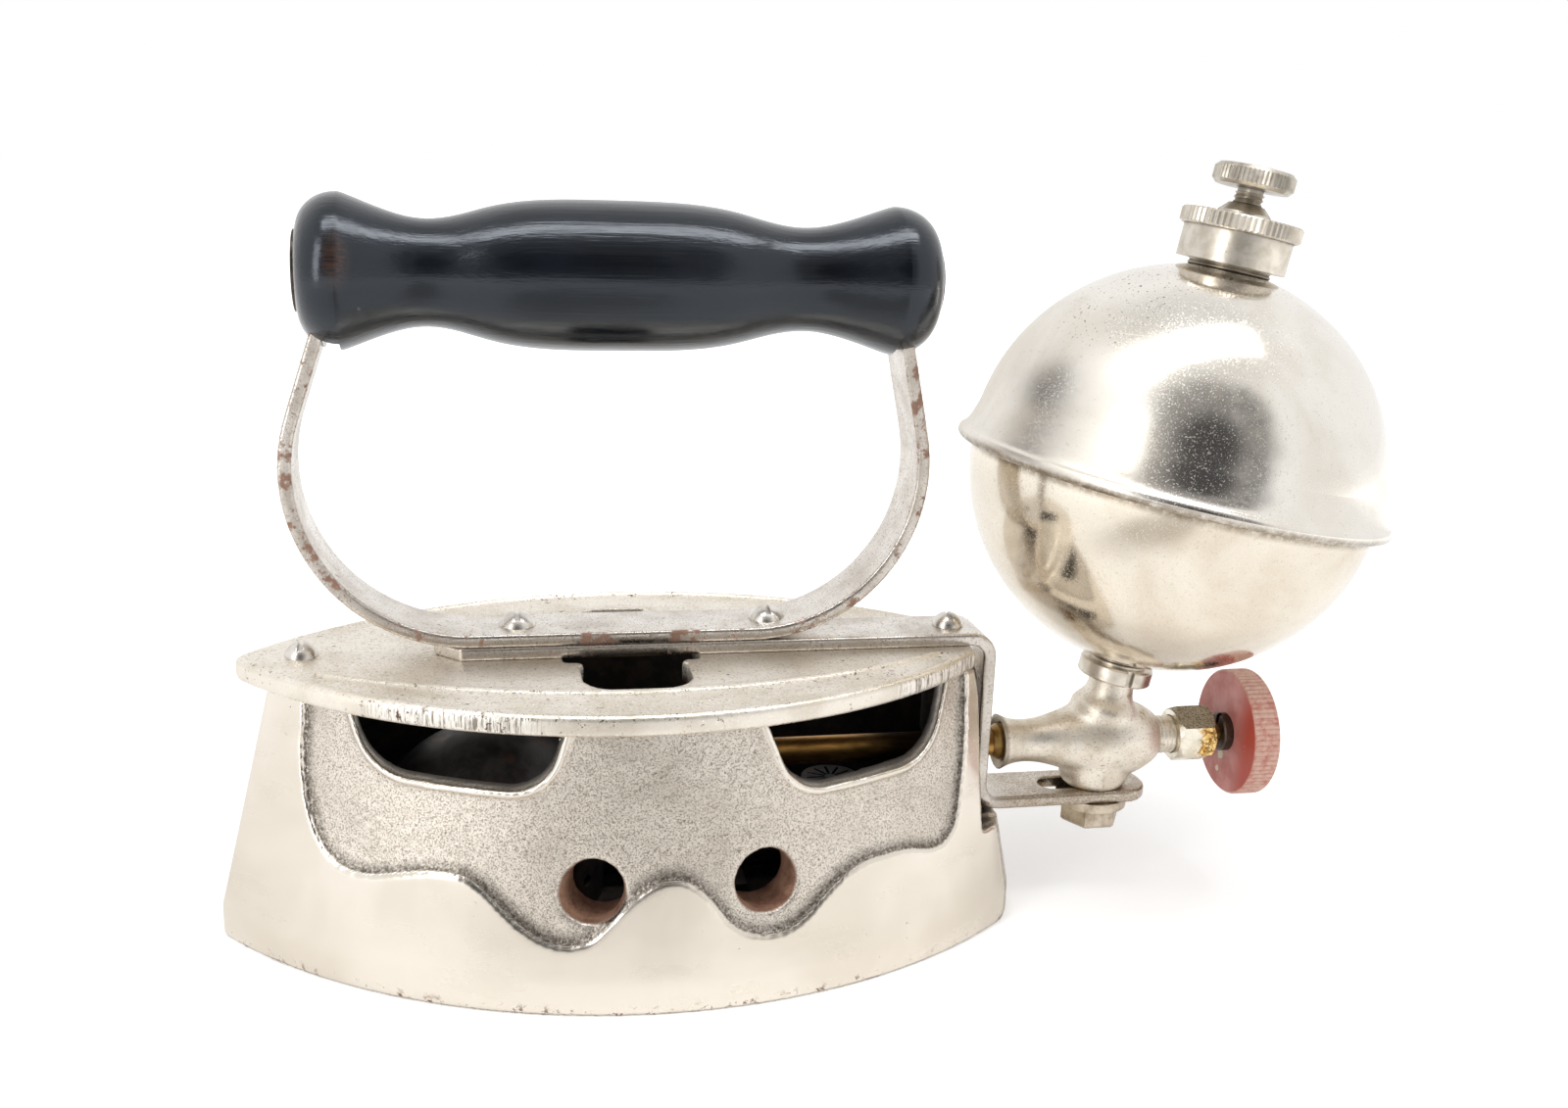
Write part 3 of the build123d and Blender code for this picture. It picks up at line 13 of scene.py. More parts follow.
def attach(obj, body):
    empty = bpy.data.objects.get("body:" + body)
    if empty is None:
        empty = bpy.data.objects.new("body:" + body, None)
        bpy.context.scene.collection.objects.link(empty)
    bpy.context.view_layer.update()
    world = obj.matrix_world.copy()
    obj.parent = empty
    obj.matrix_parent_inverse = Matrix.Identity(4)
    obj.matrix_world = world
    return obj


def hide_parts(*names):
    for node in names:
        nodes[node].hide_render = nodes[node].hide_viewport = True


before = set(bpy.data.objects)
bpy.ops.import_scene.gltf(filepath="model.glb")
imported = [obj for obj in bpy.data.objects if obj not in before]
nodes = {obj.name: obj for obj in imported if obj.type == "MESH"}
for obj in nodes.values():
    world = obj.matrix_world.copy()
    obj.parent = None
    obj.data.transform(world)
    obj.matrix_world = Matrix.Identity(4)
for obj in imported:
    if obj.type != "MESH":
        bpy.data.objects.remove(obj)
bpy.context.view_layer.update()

MM = 0.001

# The camera, in millimetres, radians and pixels of the 1600 pixel wide picture.
camera_place = Vector((-32.8, -316.3, 169.9))
camera_heading = 0.2077
camera_down = 0.2626
camera_roll = 0.0366
focal_pixels = 1566
picture_width = 1600
sensor_width = 36

# The iron's main sizes, in millimetres, as the solids have them.
sole_edge_height = 7.0
body_height = 58.4
plate_top = 63.0
strap_half_width = 7.5
valve_z = 36.9
valve_end_x = 86.0
valve_shoulder_x = 124.0
foot_top = 25.9
tank_middle = (122.9, 101.2)
tank_tilt = math.radians(10.8)
seam_drop = 3.0

# The body's outline at its sole and at its rim: the nose, the middle, the heel and the half width.
sole_outline = np.array((-87.5, 6.7, 87.5, 45.3))
rim_outline = np.array((-75.2, 4.0, 77.0, 39.0))

# The windows' edges, which have no cove: from here to there along, and above this height.
panel_lips = (-64, 70, 38)

# Each air hole's place along and up, and its bore's turn in degrees.
air_holes = ((-10.9, 25.6, 20), (24.4, 25.6, -12))
air_hole_radius = 6.6

# The thicker wall round an air hole: its radius, how deep it starts and ends, and its points round.
boss_radius = 9.4
boss_depths = (3.4, 10.5)
boss_points = 48

# The notch in the heel: where it starts along, and its half width.
heel_notch = (78.5, 9.8)
ledge_rise = 0.5

# The plate's vent and its curved band.
vent_half_length = 26.8
vent_reach = 22.0
vent_surround = (17.5, 27.5, 60)
band_middle_x = 1.0
band_radius = 133.0
band_half_width = 28.4
band_ends = (-64.5, 68.0)
band_rise = 0.2
ridge_height = 0.12

# Where wear and painted shade show, in millimetres. A pair is where it starts and where it is full.
filed_front_x = -37
filed_rear_x = 66
worn_grip_spot = (-57, -15, 146)
neck_foot = (132, 0, 147)
pitted_place = (103, -13, 141)
tank_mist_x = (118, 88)
bracket_foot_x = (82, 90)
nut_worn_x = (140.5, 142.5)
# The tube's painted shade with its sooty tone inside the body, and where it eases off outside.
tube_shade_and_soot_x = (54, 70)
tube_outside_x = (78, 83)
wheel_middle_x = 146.8
wheel_knurl_reach = (14.2, 14.75)
large_flake = (143.6, 1.2, 30.7)
small_flake = (143.6, 1.8, 26.7)

# The room: the direction of its dark side, what the lamps are turned to, and the floor, in metres.
dark_side = (-0.111, -0.907, 0.407)
lamp_aim = (0.04, 0, 0.07)
floor_half = 6


def colour(red, green, blue):
    """A colour given as a screen shows it, as the shader wants it."""
    shares = [value / 255 for value in (red, green, blue)]
    linear = [s / 12.92 if s <= 0.04045 else ((s + 0.055) / 1.055) ** 2.4 for s in shares]
    return (*linear, 1)


class Web:
    """A tree of shader nodes, added to by short calls. Sizes are in millimetres."""

    def __init__(self, tree, place):
        self.tree = tree
        self.place = self.node("ShaderNodeTexCoord").outputs[place]

    def node(self, kind, inputs=None, **settings):
        made = self.tree.nodes.new(kind)
        for name, value in settings.items():
            setattr(made, name, value)
        for name, value in (inputs or {}).items():
            self.feed(made.inputs[name], value)
        return made

    def feed(self, socket, value):
        if isinstance(value, bpy.types.NodeSocket):
            self.tree.links.new(value, socket)
        else:
            socket.default_value = value

    def stretched(self, size, stretch):
        scale = [1 / (size * MM * share) for share in stretch]
        return self.node("ShaderNodeMapping", {"Vector": self.place, "Scale": scale}).outputs["Vector"]

    def noise(self, size, detail=3, roughness=0.55, stretch=(1, 1, 1), warp=0.0):
        """Clouds about that size across."""
        inputs = {
            "Vector": self.stretched(size, stretch),
            "Scale": 1,
            "Detail": detail,
            "Roughness": roughness,
            "Distortion": warp,
        }
        return self.node("ShaderNodeTexNoise", inputs).outputs["Fac"]

    def cells(self, size, stretch=(1, 1, 1)):
        """The distance to scattered points that far apart: 0 at each point."""
        inputs = {"Vector": self.stretched(size, stretch), "Scale": 1}
        return self.node("ShaderNodeTexVoronoi", inputs).outputs["Distance"]

    def along(self, axis):
        """A coordinate, in millimetres."""
        split = self.node("ShaderNodeSeparateXYZ", {"Vector": self.place})
        return self.over(split.outputs[axis], MM)

    def attribute(self, name):
        return self.node("ShaderNodeAttribute", attribute_name=name).outputs["Fac"]

    def calculate(self, operation, first, second=0.0):
        return self.node("ShaderNodeMath", {0: first, 1: second}, operation=operation).outputs[0]

    def plus(self, first, second):
        return self.calculate("ADD", first, second)

    def minus(self, first, second):
        return self.calculate("SUBTRACT", first, second)

    def times(self, first, second):
        return self.calculate("MULTIPLY", first, second)

    def over(self, first, second):
        return self.calculate("DIVIDE", first, second)

    def larger(self, first, second):
        return self.calculate("MAXIMUM", first, second)

    def smaller(self, first, second):
        return self.calculate("MINIMUM", first, second)

    def positive(self, value):
        return self.calculate("ABSOLUTE", value)

    def ramp(self, value, low, high, start=0.0, end=1.0):
        """Start below low, end above high, and smooth between them."""
        inputs = {"Value": value, "From Min": low, "From Max": high, "To Min": start, "To Max": end}
        return self.node("ShaderNodeMapRange", inputs, interpolation_type="SMOOTHSTEP").outputs["Result"]

    def line(self, value, low, high, start=0.0, end=1.0):
        """The same, in a straight line."""
        inputs = {"Value": value, "From Min": low, "From Max": high, "To Min": start, "To Max": end}
        return self.node("ShaderNodeMapRange", inputs).outputs["Result"]

    def mix(self, share, first, second):
        """Two colours."""
        mixed = self.node("ShaderNodeMix", {0: share, 6: first, 7: second}, data_type="RGBA")
        return mixed.outputs[2]

    def blend(self, share, first, second):
        """Two numbers."""
        return self.node("ShaderNodeMix", {0: share, 2: first, 3: second}).outputs[0]

    def far_from(self, point, across=(1, 1, 1)):
        """The distance from a point, in millimetres, counted less along an axis with a larger across."""
        origin = Vector(point) * MM
        shifted = self.node("ShaderNodeVectorMath", {0: self.place, 1: origin}, operation="SUBTRACT")
        inputs = {0: shifted.outputs[0], 1: [1 / (MM * share) for share in across]}
        scaled = self.node("ShaderNodeVectorMath", inputs, operation="MULTIPLY")
        measured = self.node("ShaderNodeVectorMath", {0: scaled.outputs[0]}, operation="LENGTH")
        return measured.outputs["Value"]

    def crevice_shade_and_grime(self, distance):
        """1 deep in corners and grooves, 0 on open surfaces: ambient occlusion, which the finishes paint as
        shade with soiling.
        """
        inputs = {"Distance": distance * MM}
        shade = self.node("ShaderNodeAmbientOcclusion", inputs, samples=6, only_local=True)
        return self.ramp(shade.outputs["AO"], 0.85, 0.35)

    def worn(self, distance):
        """1 at outer edges, 0 on flats."""
        inputs = {"Distance": distance * MM}
        edge = self.node("ShaderNodeAmbientOcclusion", inputs, samples=6, inside=True, only_local=True)
        return self.ramp(edge.outputs["AO"], 0.75, 0.35)


class Finish(Web):
    """A material on its way: its web of nodes ends in one shader."""

    def __init__(self, name):
        self.material = bpy.data.materials.new(name)
        self.material.use_nodes = True
        super().__init__(self.material.node_tree, "Object")
        self.shader = self.tree.nodes["Principled BSDF"]
        self.normal = None

    def bump(self, height, depth):
        """Raises the surface by depth millimetres where height is 1."""
        inputs = {"Height": height, "Distance": depth * MM}
        if self.normal:
            inputs["Normal"] = self.normal
        self.normal = self.node("ShaderNodeBump", inputs).outputs["Normal"]

    def soften(self, radius):
        """Rounds the look of sharp edges by that radius."""
        self.normal = self.node("ShaderNodeBevel", {"Radius": radius * MM}, samples=4).outputs["Normal"]

    def done(self, **inputs):
        if self.normal:
            inputs["Normal"] = self.normal
        for name, value in inputs.items():
            self.feed(self.shader.inputs[name.replace("_", " ")], value)
        return self.material


def plated(name, bright, dull, tone_size, gloss, freckles, shade_and_grime, edge_rust, pits):
    """Old nickel plating: cloudy, freckled, grimy and with painted shade in its corners, and rust on its
    edges.
    """
    finish = Finish(name)
    finish.soften(0.25)
    cloud = finish.noise(tone_size, 4, 0.6)
    base = finish.mix(finish.ramp(cloud, 0.35, 0.68), bright, dull)
    freckle = finish.ramp(finish.noise(0.8, 2, 0.7), 0.66, 0.74, 0, freckles)
    freckle = finish.times(freckle, finish.ramp(finish.noise(11, 2), 0.42, 0.62))
    base = finish.mix(freckle, base, colour(74, 62, 52))
    # Painted shade with soiling in corners and grooves: darker there, and rougher.
    crevice_darkening = finish.times(finish.crevice_shade_and_grime(1.2), finish.ramp(finish.noise(2.2, 3), 0.2, 0.6, 0.5, shade_and_grime))
    base = finish.mix(crevice_darkening, base, colour(56, 46, 38))
    rough = finish.blend(crevice_darkening, finish.blend(cloud, *gloss), 0.7)
    patch = finish.ramp(finish.noise(5, 4, 0.65), 0.62 - 0.3 * edge_rust, 0.8 - 0.3 * edge_rust)
    fleck = finish.ramp(finish.noise(1.6, 3, 0.6), 0.68, 0.76, 0, edge_rust)
    rust = finish.larger(finish.times(patch, finish.worn(0.9)), fleck)
    rust_tone = finish.mix(finish.noise(1.1, 2), colour(88, 52, 36), colour(128, 84, 60))
    base = finish.mix(rust, base, rust_tone)
    rough = finish.blend(rust, rough, 0.75)
    finish.bump(finish.noise(1.3, 4, 0.7), pits)
    return finish.done(Base_Color=base, Metallic=finish.line(rust, 0, 1, 1, 0.25), Roughness=rough)


def screw_finish():
    """Bright screw heads."""
    return plated(
        "screw_plating",
        colour(230, 225, 218),
        colour(198, 191, 182),
        tone_size=3,
        gloss=(0.22, 0.34),
        freckles=0.5,
        shade_and_grime=0.4,
        edge_rust=0.08,
        pits=0.03,
    )


def bolt_finish():
    """The browner bolt under the bracket's foot."""
    return plated(
        "bolt_plating",
        colour(206, 194, 176),
        colour(158, 142, 122),
        tone_size=4,
        gloss=(0.26, 0.4),
        freckles=0.7,
        shade_and_grime=1.0,
        edge_rust=0.35,
        pits=0.04,
    )


def steel_finish():
    """Dark steel that has lost its plating."""
    return plated(
        "dark_steel",
        colour(96, 88, 80),
        colour(58, 50, 45),
        tone_size=2.5,
        gloss=(0.34, 0.5),
        freckles=0.8,
        shade_and_grime=0.9,
        edge_rust=0.3,
        pits=0.05,
    )


def cap_finish():
    """The filler cap and the tank's fittings, grimy and with painted shade in their knurls and corners."""
    return plated(
        "cap_plating",
        colour(222, 214, 202),
        colour(196, 187, 172),
        tone_size=4,
        gloss=(0.24, 0.36),
        freckles=0.7,
        shade_and_grime=1.0,
        edge_rust=0.1,
        pits=0.03,
    )


def vent_finish():
    """The greyer vent screw and the neck's thread."""
    return plated(
        "vent_plating",
        colour(206, 199, 187),
        colour(166, 158, 145),
        tone_size=3,
        gloss=(0.28, 0.4),
        freckles=0.8,
        shade_and_grime=1.0,
        edge_rust=0.1,
        pits=0.03,
    )


def cast_sand(finish, grain, pebble):
    """The sandy face of a panel, with painted shade and sooty specks in its cove, and darker on the walls
    of its openings.
    """
    crowd = finish.ramp(finish.noise(9, 3, 0.6), 0.4, 0.64, 0.3, 1)
    sand = finish.mix(finish.ramp(grain, 0.46, 0.64), colour(228, 220, 209), colour(164, 153, 140))
    specks = finish.times(finish.ramp(pebble, 0.57, 0.67, 0, 0.85), crowd)
    sand = finish.mix(specks, sand, colour(118, 104, 90))
    patch = finish.ramp(finish.noise(16, 3), 0.4, 0.7, 0, 0.35)
    sand = finish.mix(patch, sand, colour(170, 160, 147))
    # Painted shade in the cove beside the panel's raised edge, with sooty specks.
    shade_and_soot = finish.times(finish.attribute("cove"), finish.ramp(pebble, 0.32, 0.62, 0.35, 0.95))
    sand = finish.mix(shade_and_soot, sand, colour(88, 80, 72))
    return finish.mix(finish.times(finish.attribute("wall"), 0.8), sand, colour(92, 82, 73))


def body_rust(finish):
    """Rust along the sole's edge and in scattered pits."""
    foot = finish.ramp(finish.along("Z"), 3.0, 0.3)
    edge = finish.times(finish.ramp(finish.noise(2.4, 3, 0.7), 0.55, 0.66), foot)
    pits = finish.ramp(finish.noise(0.9, 2, 0.6), 0.7, 0.76)
    return finish.larger(edge, finish.times(pits, finish.ramp(finish.noise(21, 2), 0.56, 0.68)))


def body_finish():
    """The casting: a polished band below, a sandy panel above it with painted highlights on its raised
    edges and painted shade in its cove, rusty bores, and burnt iron inside.
    """
    finish = Finish("cast_body")
    panel = finish.attribute("panel")
    inside = finish.attribute("inside")
    bore = finish.attribute("bore")
    smear = finish.noise(6, 4, 0.6, stretch=(4, 4, 1))
    grain = finish.noise(0.34, 2, 0.6)
    pebble = finish.noise(0.62, 3, 0.65)
    scale = finish.noise(5, 4, 0.6)
    cloud = finish.ramp(finish.noise(30, 3, 0.5, warp=0.4), 0.4, 0.7)
    polished = finish.mix(cloud, colour(232, 224, 212), colour(221, 212, 198))
    polished = finish.mix(finish.ramp(smear, 0.5, 0.8, 0, 0.14), polished, colour(202, 191, 175))
    base = finish.mix(panel, polished, cast_sand(finish, grain, pebble))
    # Painted highlight: the raised edges and window lips lighter, near the polished band's colour.
    base = finish.mix(finish.times(finish.attribute("raised"), 0.55), base, colour(228, 222, 213))
    rust = finish.times(body_rust(finish), finish.line(inside, 0, 1, 1, 0))
    base = finish.mix(rust, base, colour(116, 78, 56))
    burnt = finish.mix(finish.ramp(scale, 0.4, 0.66), colour(24, 21, 20), colour(50, 40, 34))
    base = finish.mix(inside, base, burnt)
    rusty = finish.mix(finish.ramp(scale, 0.38, 0.64), colour(148, 112, 90), colour(112, 76, 60))
    rusty = finish.mix(finish.ramp(grain, 0.56, 0.7, 0, 0.7), rusty, colour(74, 54, 42))
    base = finish.mix(bore, base, rusty)
    bare = finish.larger(rust, finish.larger(inside, bore))
    rough = finish.blend(panel, finish.line(smear, 0.3, 0.8, 0.2, 0.32), 0.4)
    rough = finish.blend(bare, rough, 0.85)
    finish.bump(finish.times(finish.plus(pebble, grain), finish.line(panel, 0, 1, 0.03, 1)), 0.075)
    finish.bump(finish.noise(3, 3, 0.5, stretch=(1, 1, 4)), 0.012)
    return finish.done(Base_Color=base, Metallic=finish.line(bare, 0, 1, 1, 0.1), Roughness=rough)


def plate_finish():
    """The top plate: a sand-cast face with bright grains, and file marks in patches on its rim."""
    finish = Finish("cast_plate")
    facing = finish.node("ShaderNodeNewGeometry").outputs["Normal"]
    upward = finish.node("ShaderNodeSeparateXYZ", {"Vector": facing}).outputs["Z"]
    rim = finish.ramp(finish.positive(upward), 0.75, 0.35)
    grain = finish.noise(0.55, 3, 0.65)
    cloud = finish.noise(15, 4, 0.6)
    face = finish.mix(finish.ramp(cloud, 0.38, 0.68), colour(244, 237, 226), colour(228, 219, 204))
    face = finish.mix(finish.ramp(grain, 0.54, 0.66, 0, 0.6), face, colour(166, 152, 135))
    glint = finish.ramp(finish.noise(0.5, 2, 0.6), 0.6, 0.67)
    face = finish.mix(glint, face, colour(253, 250, 244))
    marks = finish.noise(0.5, 3, 0.7, stretch=(1, 1, 14))
    front = finish.ramp(finish.positive(finish.minus(finish.along("X"), filed_front_x)), 19, 12)
    back = finish.ramp(finish.positive(finish.minus(finish.along("X"), filed_rear_x)), 15, 9)
    filed = finish.times(rim, finish.larger(front, back))
    cut = finish.ramp(marks, 0.47, 0.62, 0, 0.9)
    edge = finish.mix(cut, colour(240, 234, 225), colour(128, 118, 105))
    shade = finish.ramp(cloud, 0.45, 0.7, 0, 0.4)
    plain = finish.mix(shade, colour(234, 227, 215), colour(196, 184, 168))
    base = finish.mix(rim, face, plain)
    base = finish.mix(filed, base, edge)
    crowd = finish.ramp(finish.noise(12, 2), 0.48, 0.62)
    chips = finish.times(finish.ramp(finish.noise(1.5, 3, 0.7), 0.61, 0.66), crowd)
    base = finish.mix(finish.times(chips, 0.85), base, colour(96, 66, 50))
    stain = finish.ramp(finish.noise(4, 4, 0.7), 0.66, 0.78, 0, 0.45)
    base = finish.mix(stain, base, colour(140, 116, 94))
    # Painted shade with soiling in the plate's corners.
    base = finish.mix(finish.times(finish.crevice_shade_and_grime(1.6), 0.75), base, colour(104, 86, 70))
    deep = finish.ramp(finish.along("Z"), plate_top - 0.8, plate_top - 4.4)
    middle = finish.ramp(finish.far_from((0, 0, plate_top), vent_surround), 1.0, 0.9)
    base = finish.mix(finish.times(deep, middle), base, colour(104, 90, 77))
    rough = finish.blend(filed, finish.line(grain, 0.3, 0.7, 0.36, 0.5), 0.3)
    rough = finish.blend(glint, rough, 0.12)
    finish.bump(grain, 0.05)
    finish.bump(finish.noise(2.6, 3, 0.6), 0.06)
    finish.bump(finish.times(marks, filed), 0.14)
    finish.bump(chips, -0.08)
    return finish.done(Base_Color=base, Metallic=1.0, Roughness=rough)


def bar_finish(name, share_of_rust):
    """Bent bar, pitted and bright: its narrow sides are rusty in places, its foot is browner."""
    finish = Finish(name)
    across = finish.positive(finish.along("Y"))
    side = finish.ramp(across, strap_half_width - 0.7, strap_half_width - 0.25)
    cloud = finish.noise(9, 4, 0.6)
    grain = finish.noise(0.42, 3, 0.65)
    base = finish.mix(finish.ramp(cloud, 0.36, 0.68), colour(232, 226, 218), colour(208, 200, 190))
    base = finish.mix(finish.ramp(grain, 0.52, 0.66, 0, 0.65), base, colour(140, 126, 112))
    base = finish.mix(finish.times(side, 0.35), base, colour(150, 139, 128))
    foot = finish.ramp(finish.along("X"), *bracket_foot_x)
    foot = finish.times(foot, finish.ramp(grain, 0.36, 0.6, 0.25, 0.75))
    base = finish.mix(foot, base, colour(150, 132, 108))
    clean = 0.66 - 0.14 * share_of_rust
    patch = finish.ramp(finish.noise(7, 4, 0.7), clean, clean + 0.08)
    rust = finish.times(patch, finish.line(side, 0, 1, 0, 0.85))
    fleck = finish.ramp(finish.noise(1.0, 3, 0.7), 0.6, 0.68, 0, 0.85)
    rust = finish.larger(rust, finish.times(fleck, finish.ramp(finish.noise(11, 2), 0.4, 0.6)))
    rust_tone = finish.mix(finish.noise(1.4, 3), colour(104, 66, 48), colour(168, 124, 98))
    base = finish.mix(rust, base, rust_tone)
    # Painted shade with soiling in corners and where the bar meets other parts.
    base = finish.mix(finish.times(finish.crevice_shade_and_grime(1.2), 0.7), base, colour(96, 78, 66))
    rough = finish.blend(rust, finish.line(cloud, 0.3, 0.7, 0.22, 0.36), 0.7)
    finish.bump(grain, 0.035)
    finish.bump(finish.noise(3, 3, 0.6), 0.05)
    return finish.done(Base_Color=base, Metallic=finish.line(rust, 0, 1, 1, 0.3), Roughness=rough)


def grip_finish():
    """Old black paint, a little blue, glossy over turned wood whose grain shows through."""
    finish = Finish("painted_wood")
    grain = finish.noise(0.8, 3, 0.65, stretch=(36, 1, 1), warp=0.3)
    streak = finish.noise(0.45, 2, 0.6, stretch=(60, 1, 1))
    cloud = finish.noise(18, 3, 0.5)
    base = finish.mix(finish.ramp(cloud, 0.35, 0.7), colour(9, 12, 16), colour(18, 22, 28))
    base = finish.mix(finish.ramp(grain, 0.58, 0.74, 0, 0.6), base, colour(9, 10, 12))
    ground = finish.far_from(worn_grip_spot, (3.2, 6, 7))
    rubbed = finish.times(finish.ramp(ground, 1.1, 0.2), finish.ramp(streak, 0.3, 0.65, 0.25, 1))
    base = finish.mix(rubbed, base, colour(66, 48, 40))
    chip = finish.ramp(finish.cells(7.5, (2, 1, 1)), 0.09, 0.05, 0, 0.8)
    chip = finish.times(chip, finish.ramp(finish.noise(15, 2), 0.52, 0.6))
    base = finish.mix(chip, base, colour(176, 158, 134))
    rough = finish.line(finish.noise(5, 4, 0.6, stretch=(5, 1, 1)), 0.3, 0.75, 0.14, 0.3)
    finish.bump(finish.ramp(grain, 0.3, 0.8), 0.022)
    finish.bump(streak, 0.004)
    finish.bump(finish.noise(9, 2, stretch=(2, 1, 1)), 0.12)
    return finish.done(
        Base_Color=base,
        Roughness=rough,
        Specular_IOR_Level=0.35,
        Specular_Tint=colour(214, 232, 255),
        Coat_Weight=0.55,
        Coat_Roughness=0.14,
        Coat_Normal=finish.normal,
    )


def seam_shade_and_grime(finish):
    """Painted shade with soiling in a narrow line round the tank, under its rolled seam."""
    lean, stand = math.sin(tank_tilt), math.cos(tank_tilt)
    level = finish.plus(finish.times(finish.along("X"), lean), finish.times(finish.along("Z"), stand))
    level = finish.minus(level, tank_middle[0] * lean + tank_middle[1] * stand - seam_drop)
    line = finish.ramp(finish.positive(level), 2.2, 0.4, 0, 0.8)
    return finish.times(line, finish.ramp(finish.noise(1.8, 4, 0.7), 0.3, 0.6, 0.4, 1))


def tank_finish(name, bright, dull, gloss, mist):
    """Mirror plating on sheet metal: misty, dusty, faintly dented and scratched, with clusters of pits."""
    finish = Finish(name)
    cloud = finish.noise(22, 4, 0.55, warp=0.5)
    wipe = finish.noise(9, 4, 0.6, stretch=(1, 1, 3))
    base = finish.mix(finish.ramp(cloud, 0.36, 0.7), bright, dull)
    near_neck = finish.ramp(finish.far_from(neck_foot), 26, 10)
    near_side = finish.ramp(finish.far_from(pitted_place), 22, 8)
    crowd = finish.larger(finish.larger(near_neck, near_side), 0.16)
    freckle = finish.times(finish.ramp(finish.noise(0.7, 2, 0.6), 0.63, 0.7), crowd)
    base = finish.mix(freckle, base, colour(96, 82, 66))
    stain = finish.times(finish.ramp(finish.noise(5, 5, 0.7), 0.58, 0.72, 0, 0.3), crowd)
    base = finish.mix(stain, base, colour(150, 134, 110))
    # Painted shade with soiling under the rolled seam.
    base = finish.mix(seam_shade_and_grime(finish), base, colour(124, 108, 86))
    scratch = finish.ramp(finish.noise(0.22, 2, 0.5, stretch=(60, 60, 1), warp=0.2), 0.66, 0.72)
    misty = finish.ramp(finish.plus(finish.along("X"), finish.times(cloud, 12)), *tank_mist_x)
    dust = finish.ramp(finish.noise(0.36, 2, 0.65), 0.58, 0.66, 0, 0.3)
    rough = finish.line(finish.times(cloud, wipe), 0.12, 0.42, *gloss)
    rough = finish.plus(rough, finish.times(finish.larger(freckle, scratch), 0.1))
    rough = finish.plus(rough, finish.times(misty, mist))
    rough = finish.plus(rough, dust)
    finish.bump(finish.noise(30, 2, 0.4), 0.1)
    finish.bump(finish.noise(1.1, 3, 0.6), 0.003)
    finish.bump(freckle, -0.04)
    return finish.done(Base_Color=base, Metallic=1.0, Roughness=rough)


def upper_tank_finish():
    """The upper half shell, misty towards the grip."""
    bright, dull = colour(240, 235, 227), colour(226, 219, 208)
    return tank_finish("tank_upper_plating", bright, dull, gloss=(0.1, 0.18), mist=0.26)


def lower_tank_finish():
    """The clearer lower half shell, its plating painted yellower and darker as the floor's reflection."""
    # Yellower and darker than the upper shell's: a painted reflection of the floor.
    bright, dull = colour(234, 225, 210), colour(218, 206, 188)
    return tank_finish("tank_lower_plating", bright, dull, gloss=(0.09, 0.18), mist=0.03)


def brass_finish():
    """Dull brass, darkened by heat."""
    finish = Finish("old_brass")
    finish.soften(0.2)
    cloud = finish.noise(4.5, 4, 0.65)
    base = finish.mix(finish.ramp(cloud, 0.36, 0.62), colour(176, 146, 92), colour(128, 98, 56))
    # Painted shade with soiling in corners and grooves.
    base = finish.mix(finish.crevice_shade_and_grime(1.0), base, colour(56, 44, 30))
    finish.bump(finish.noise(0.8, 4, 0.7), 0.03)
    return finish.done(Base_Color=base, Metallic=1.0, Roughness=finish.line(cloud, 0.3, 0.7, 0.3, 0.46))


def nut_finish():
    """Nickel worn through to stained brass on the nut's flanks, dull on its upper faces."""
    finish = Finish("worn_nut")
    facing = finish.node("ShaderNodeNewGeometry").outputs["Normal"]
    upper = finish.ramp(finish.node("ShaderNodeSeparateXYZ", {"Vector": facing}).outputs["Z"], 0.35, 0.5)
    cloud = finish.noise(5, 4, 0.65)
    grain = finish.noise(0.45, 3, 0.6)
    nickel = finish.mix(finish.ramp(cloud, 0.36, 0.66), colour(238, 231, 216), colour(206, 196, 174))
    blotch = finish.ramp(finish.noise(1.6, 4, 0.7), 0.4, 0.6)
    brass = finish.mix(blotch, colour(238, 208, 142), colour(196, 150, 78))
    worn_through = finish.plus(finish.along("X"), finish.times(finish.noise(4, 4, 0.7), 14))
    worn_through = finish.ramp(worn_through, *nut_worn_x)
    base = finish.mix(finish.times(worn_through, finish.line(upper, 0, 1, 1, 0)), nickel, brass)
    vein = finish.positive(finish.minus(finish.noise(2.6, 5, 0.75), 0.5))
    stain = finish.times(finish.ramp(vein, 0.05, 0.015, 0, 0.85), worn_through)
    base = finish.mix(stain, base, colour(112, 68, 30))
    dull = finish.mix(finish.ramp(grain, 0.45, 0.62), colour(170, 161, 140), colour(118, 108, 90))
    base = finish.mix(upper, base, dull)
    # Painted shade with soiling in the nut's corners.
    base = finish.mix(finish.crevice_shade_and_grime(0.8), base, colour(70, 56, 40))
    rough = finish.blend(finish.larger(stain, upper), finish.line(cloud, 0.3, 0.7, 0.16, 0.3), 0.5)
    finish.bump(finish.noise(0.8, 4, 0.7), 0.03)
    return finish.done(Base_Color=base, Metallic=1.0, Roughness=rough)


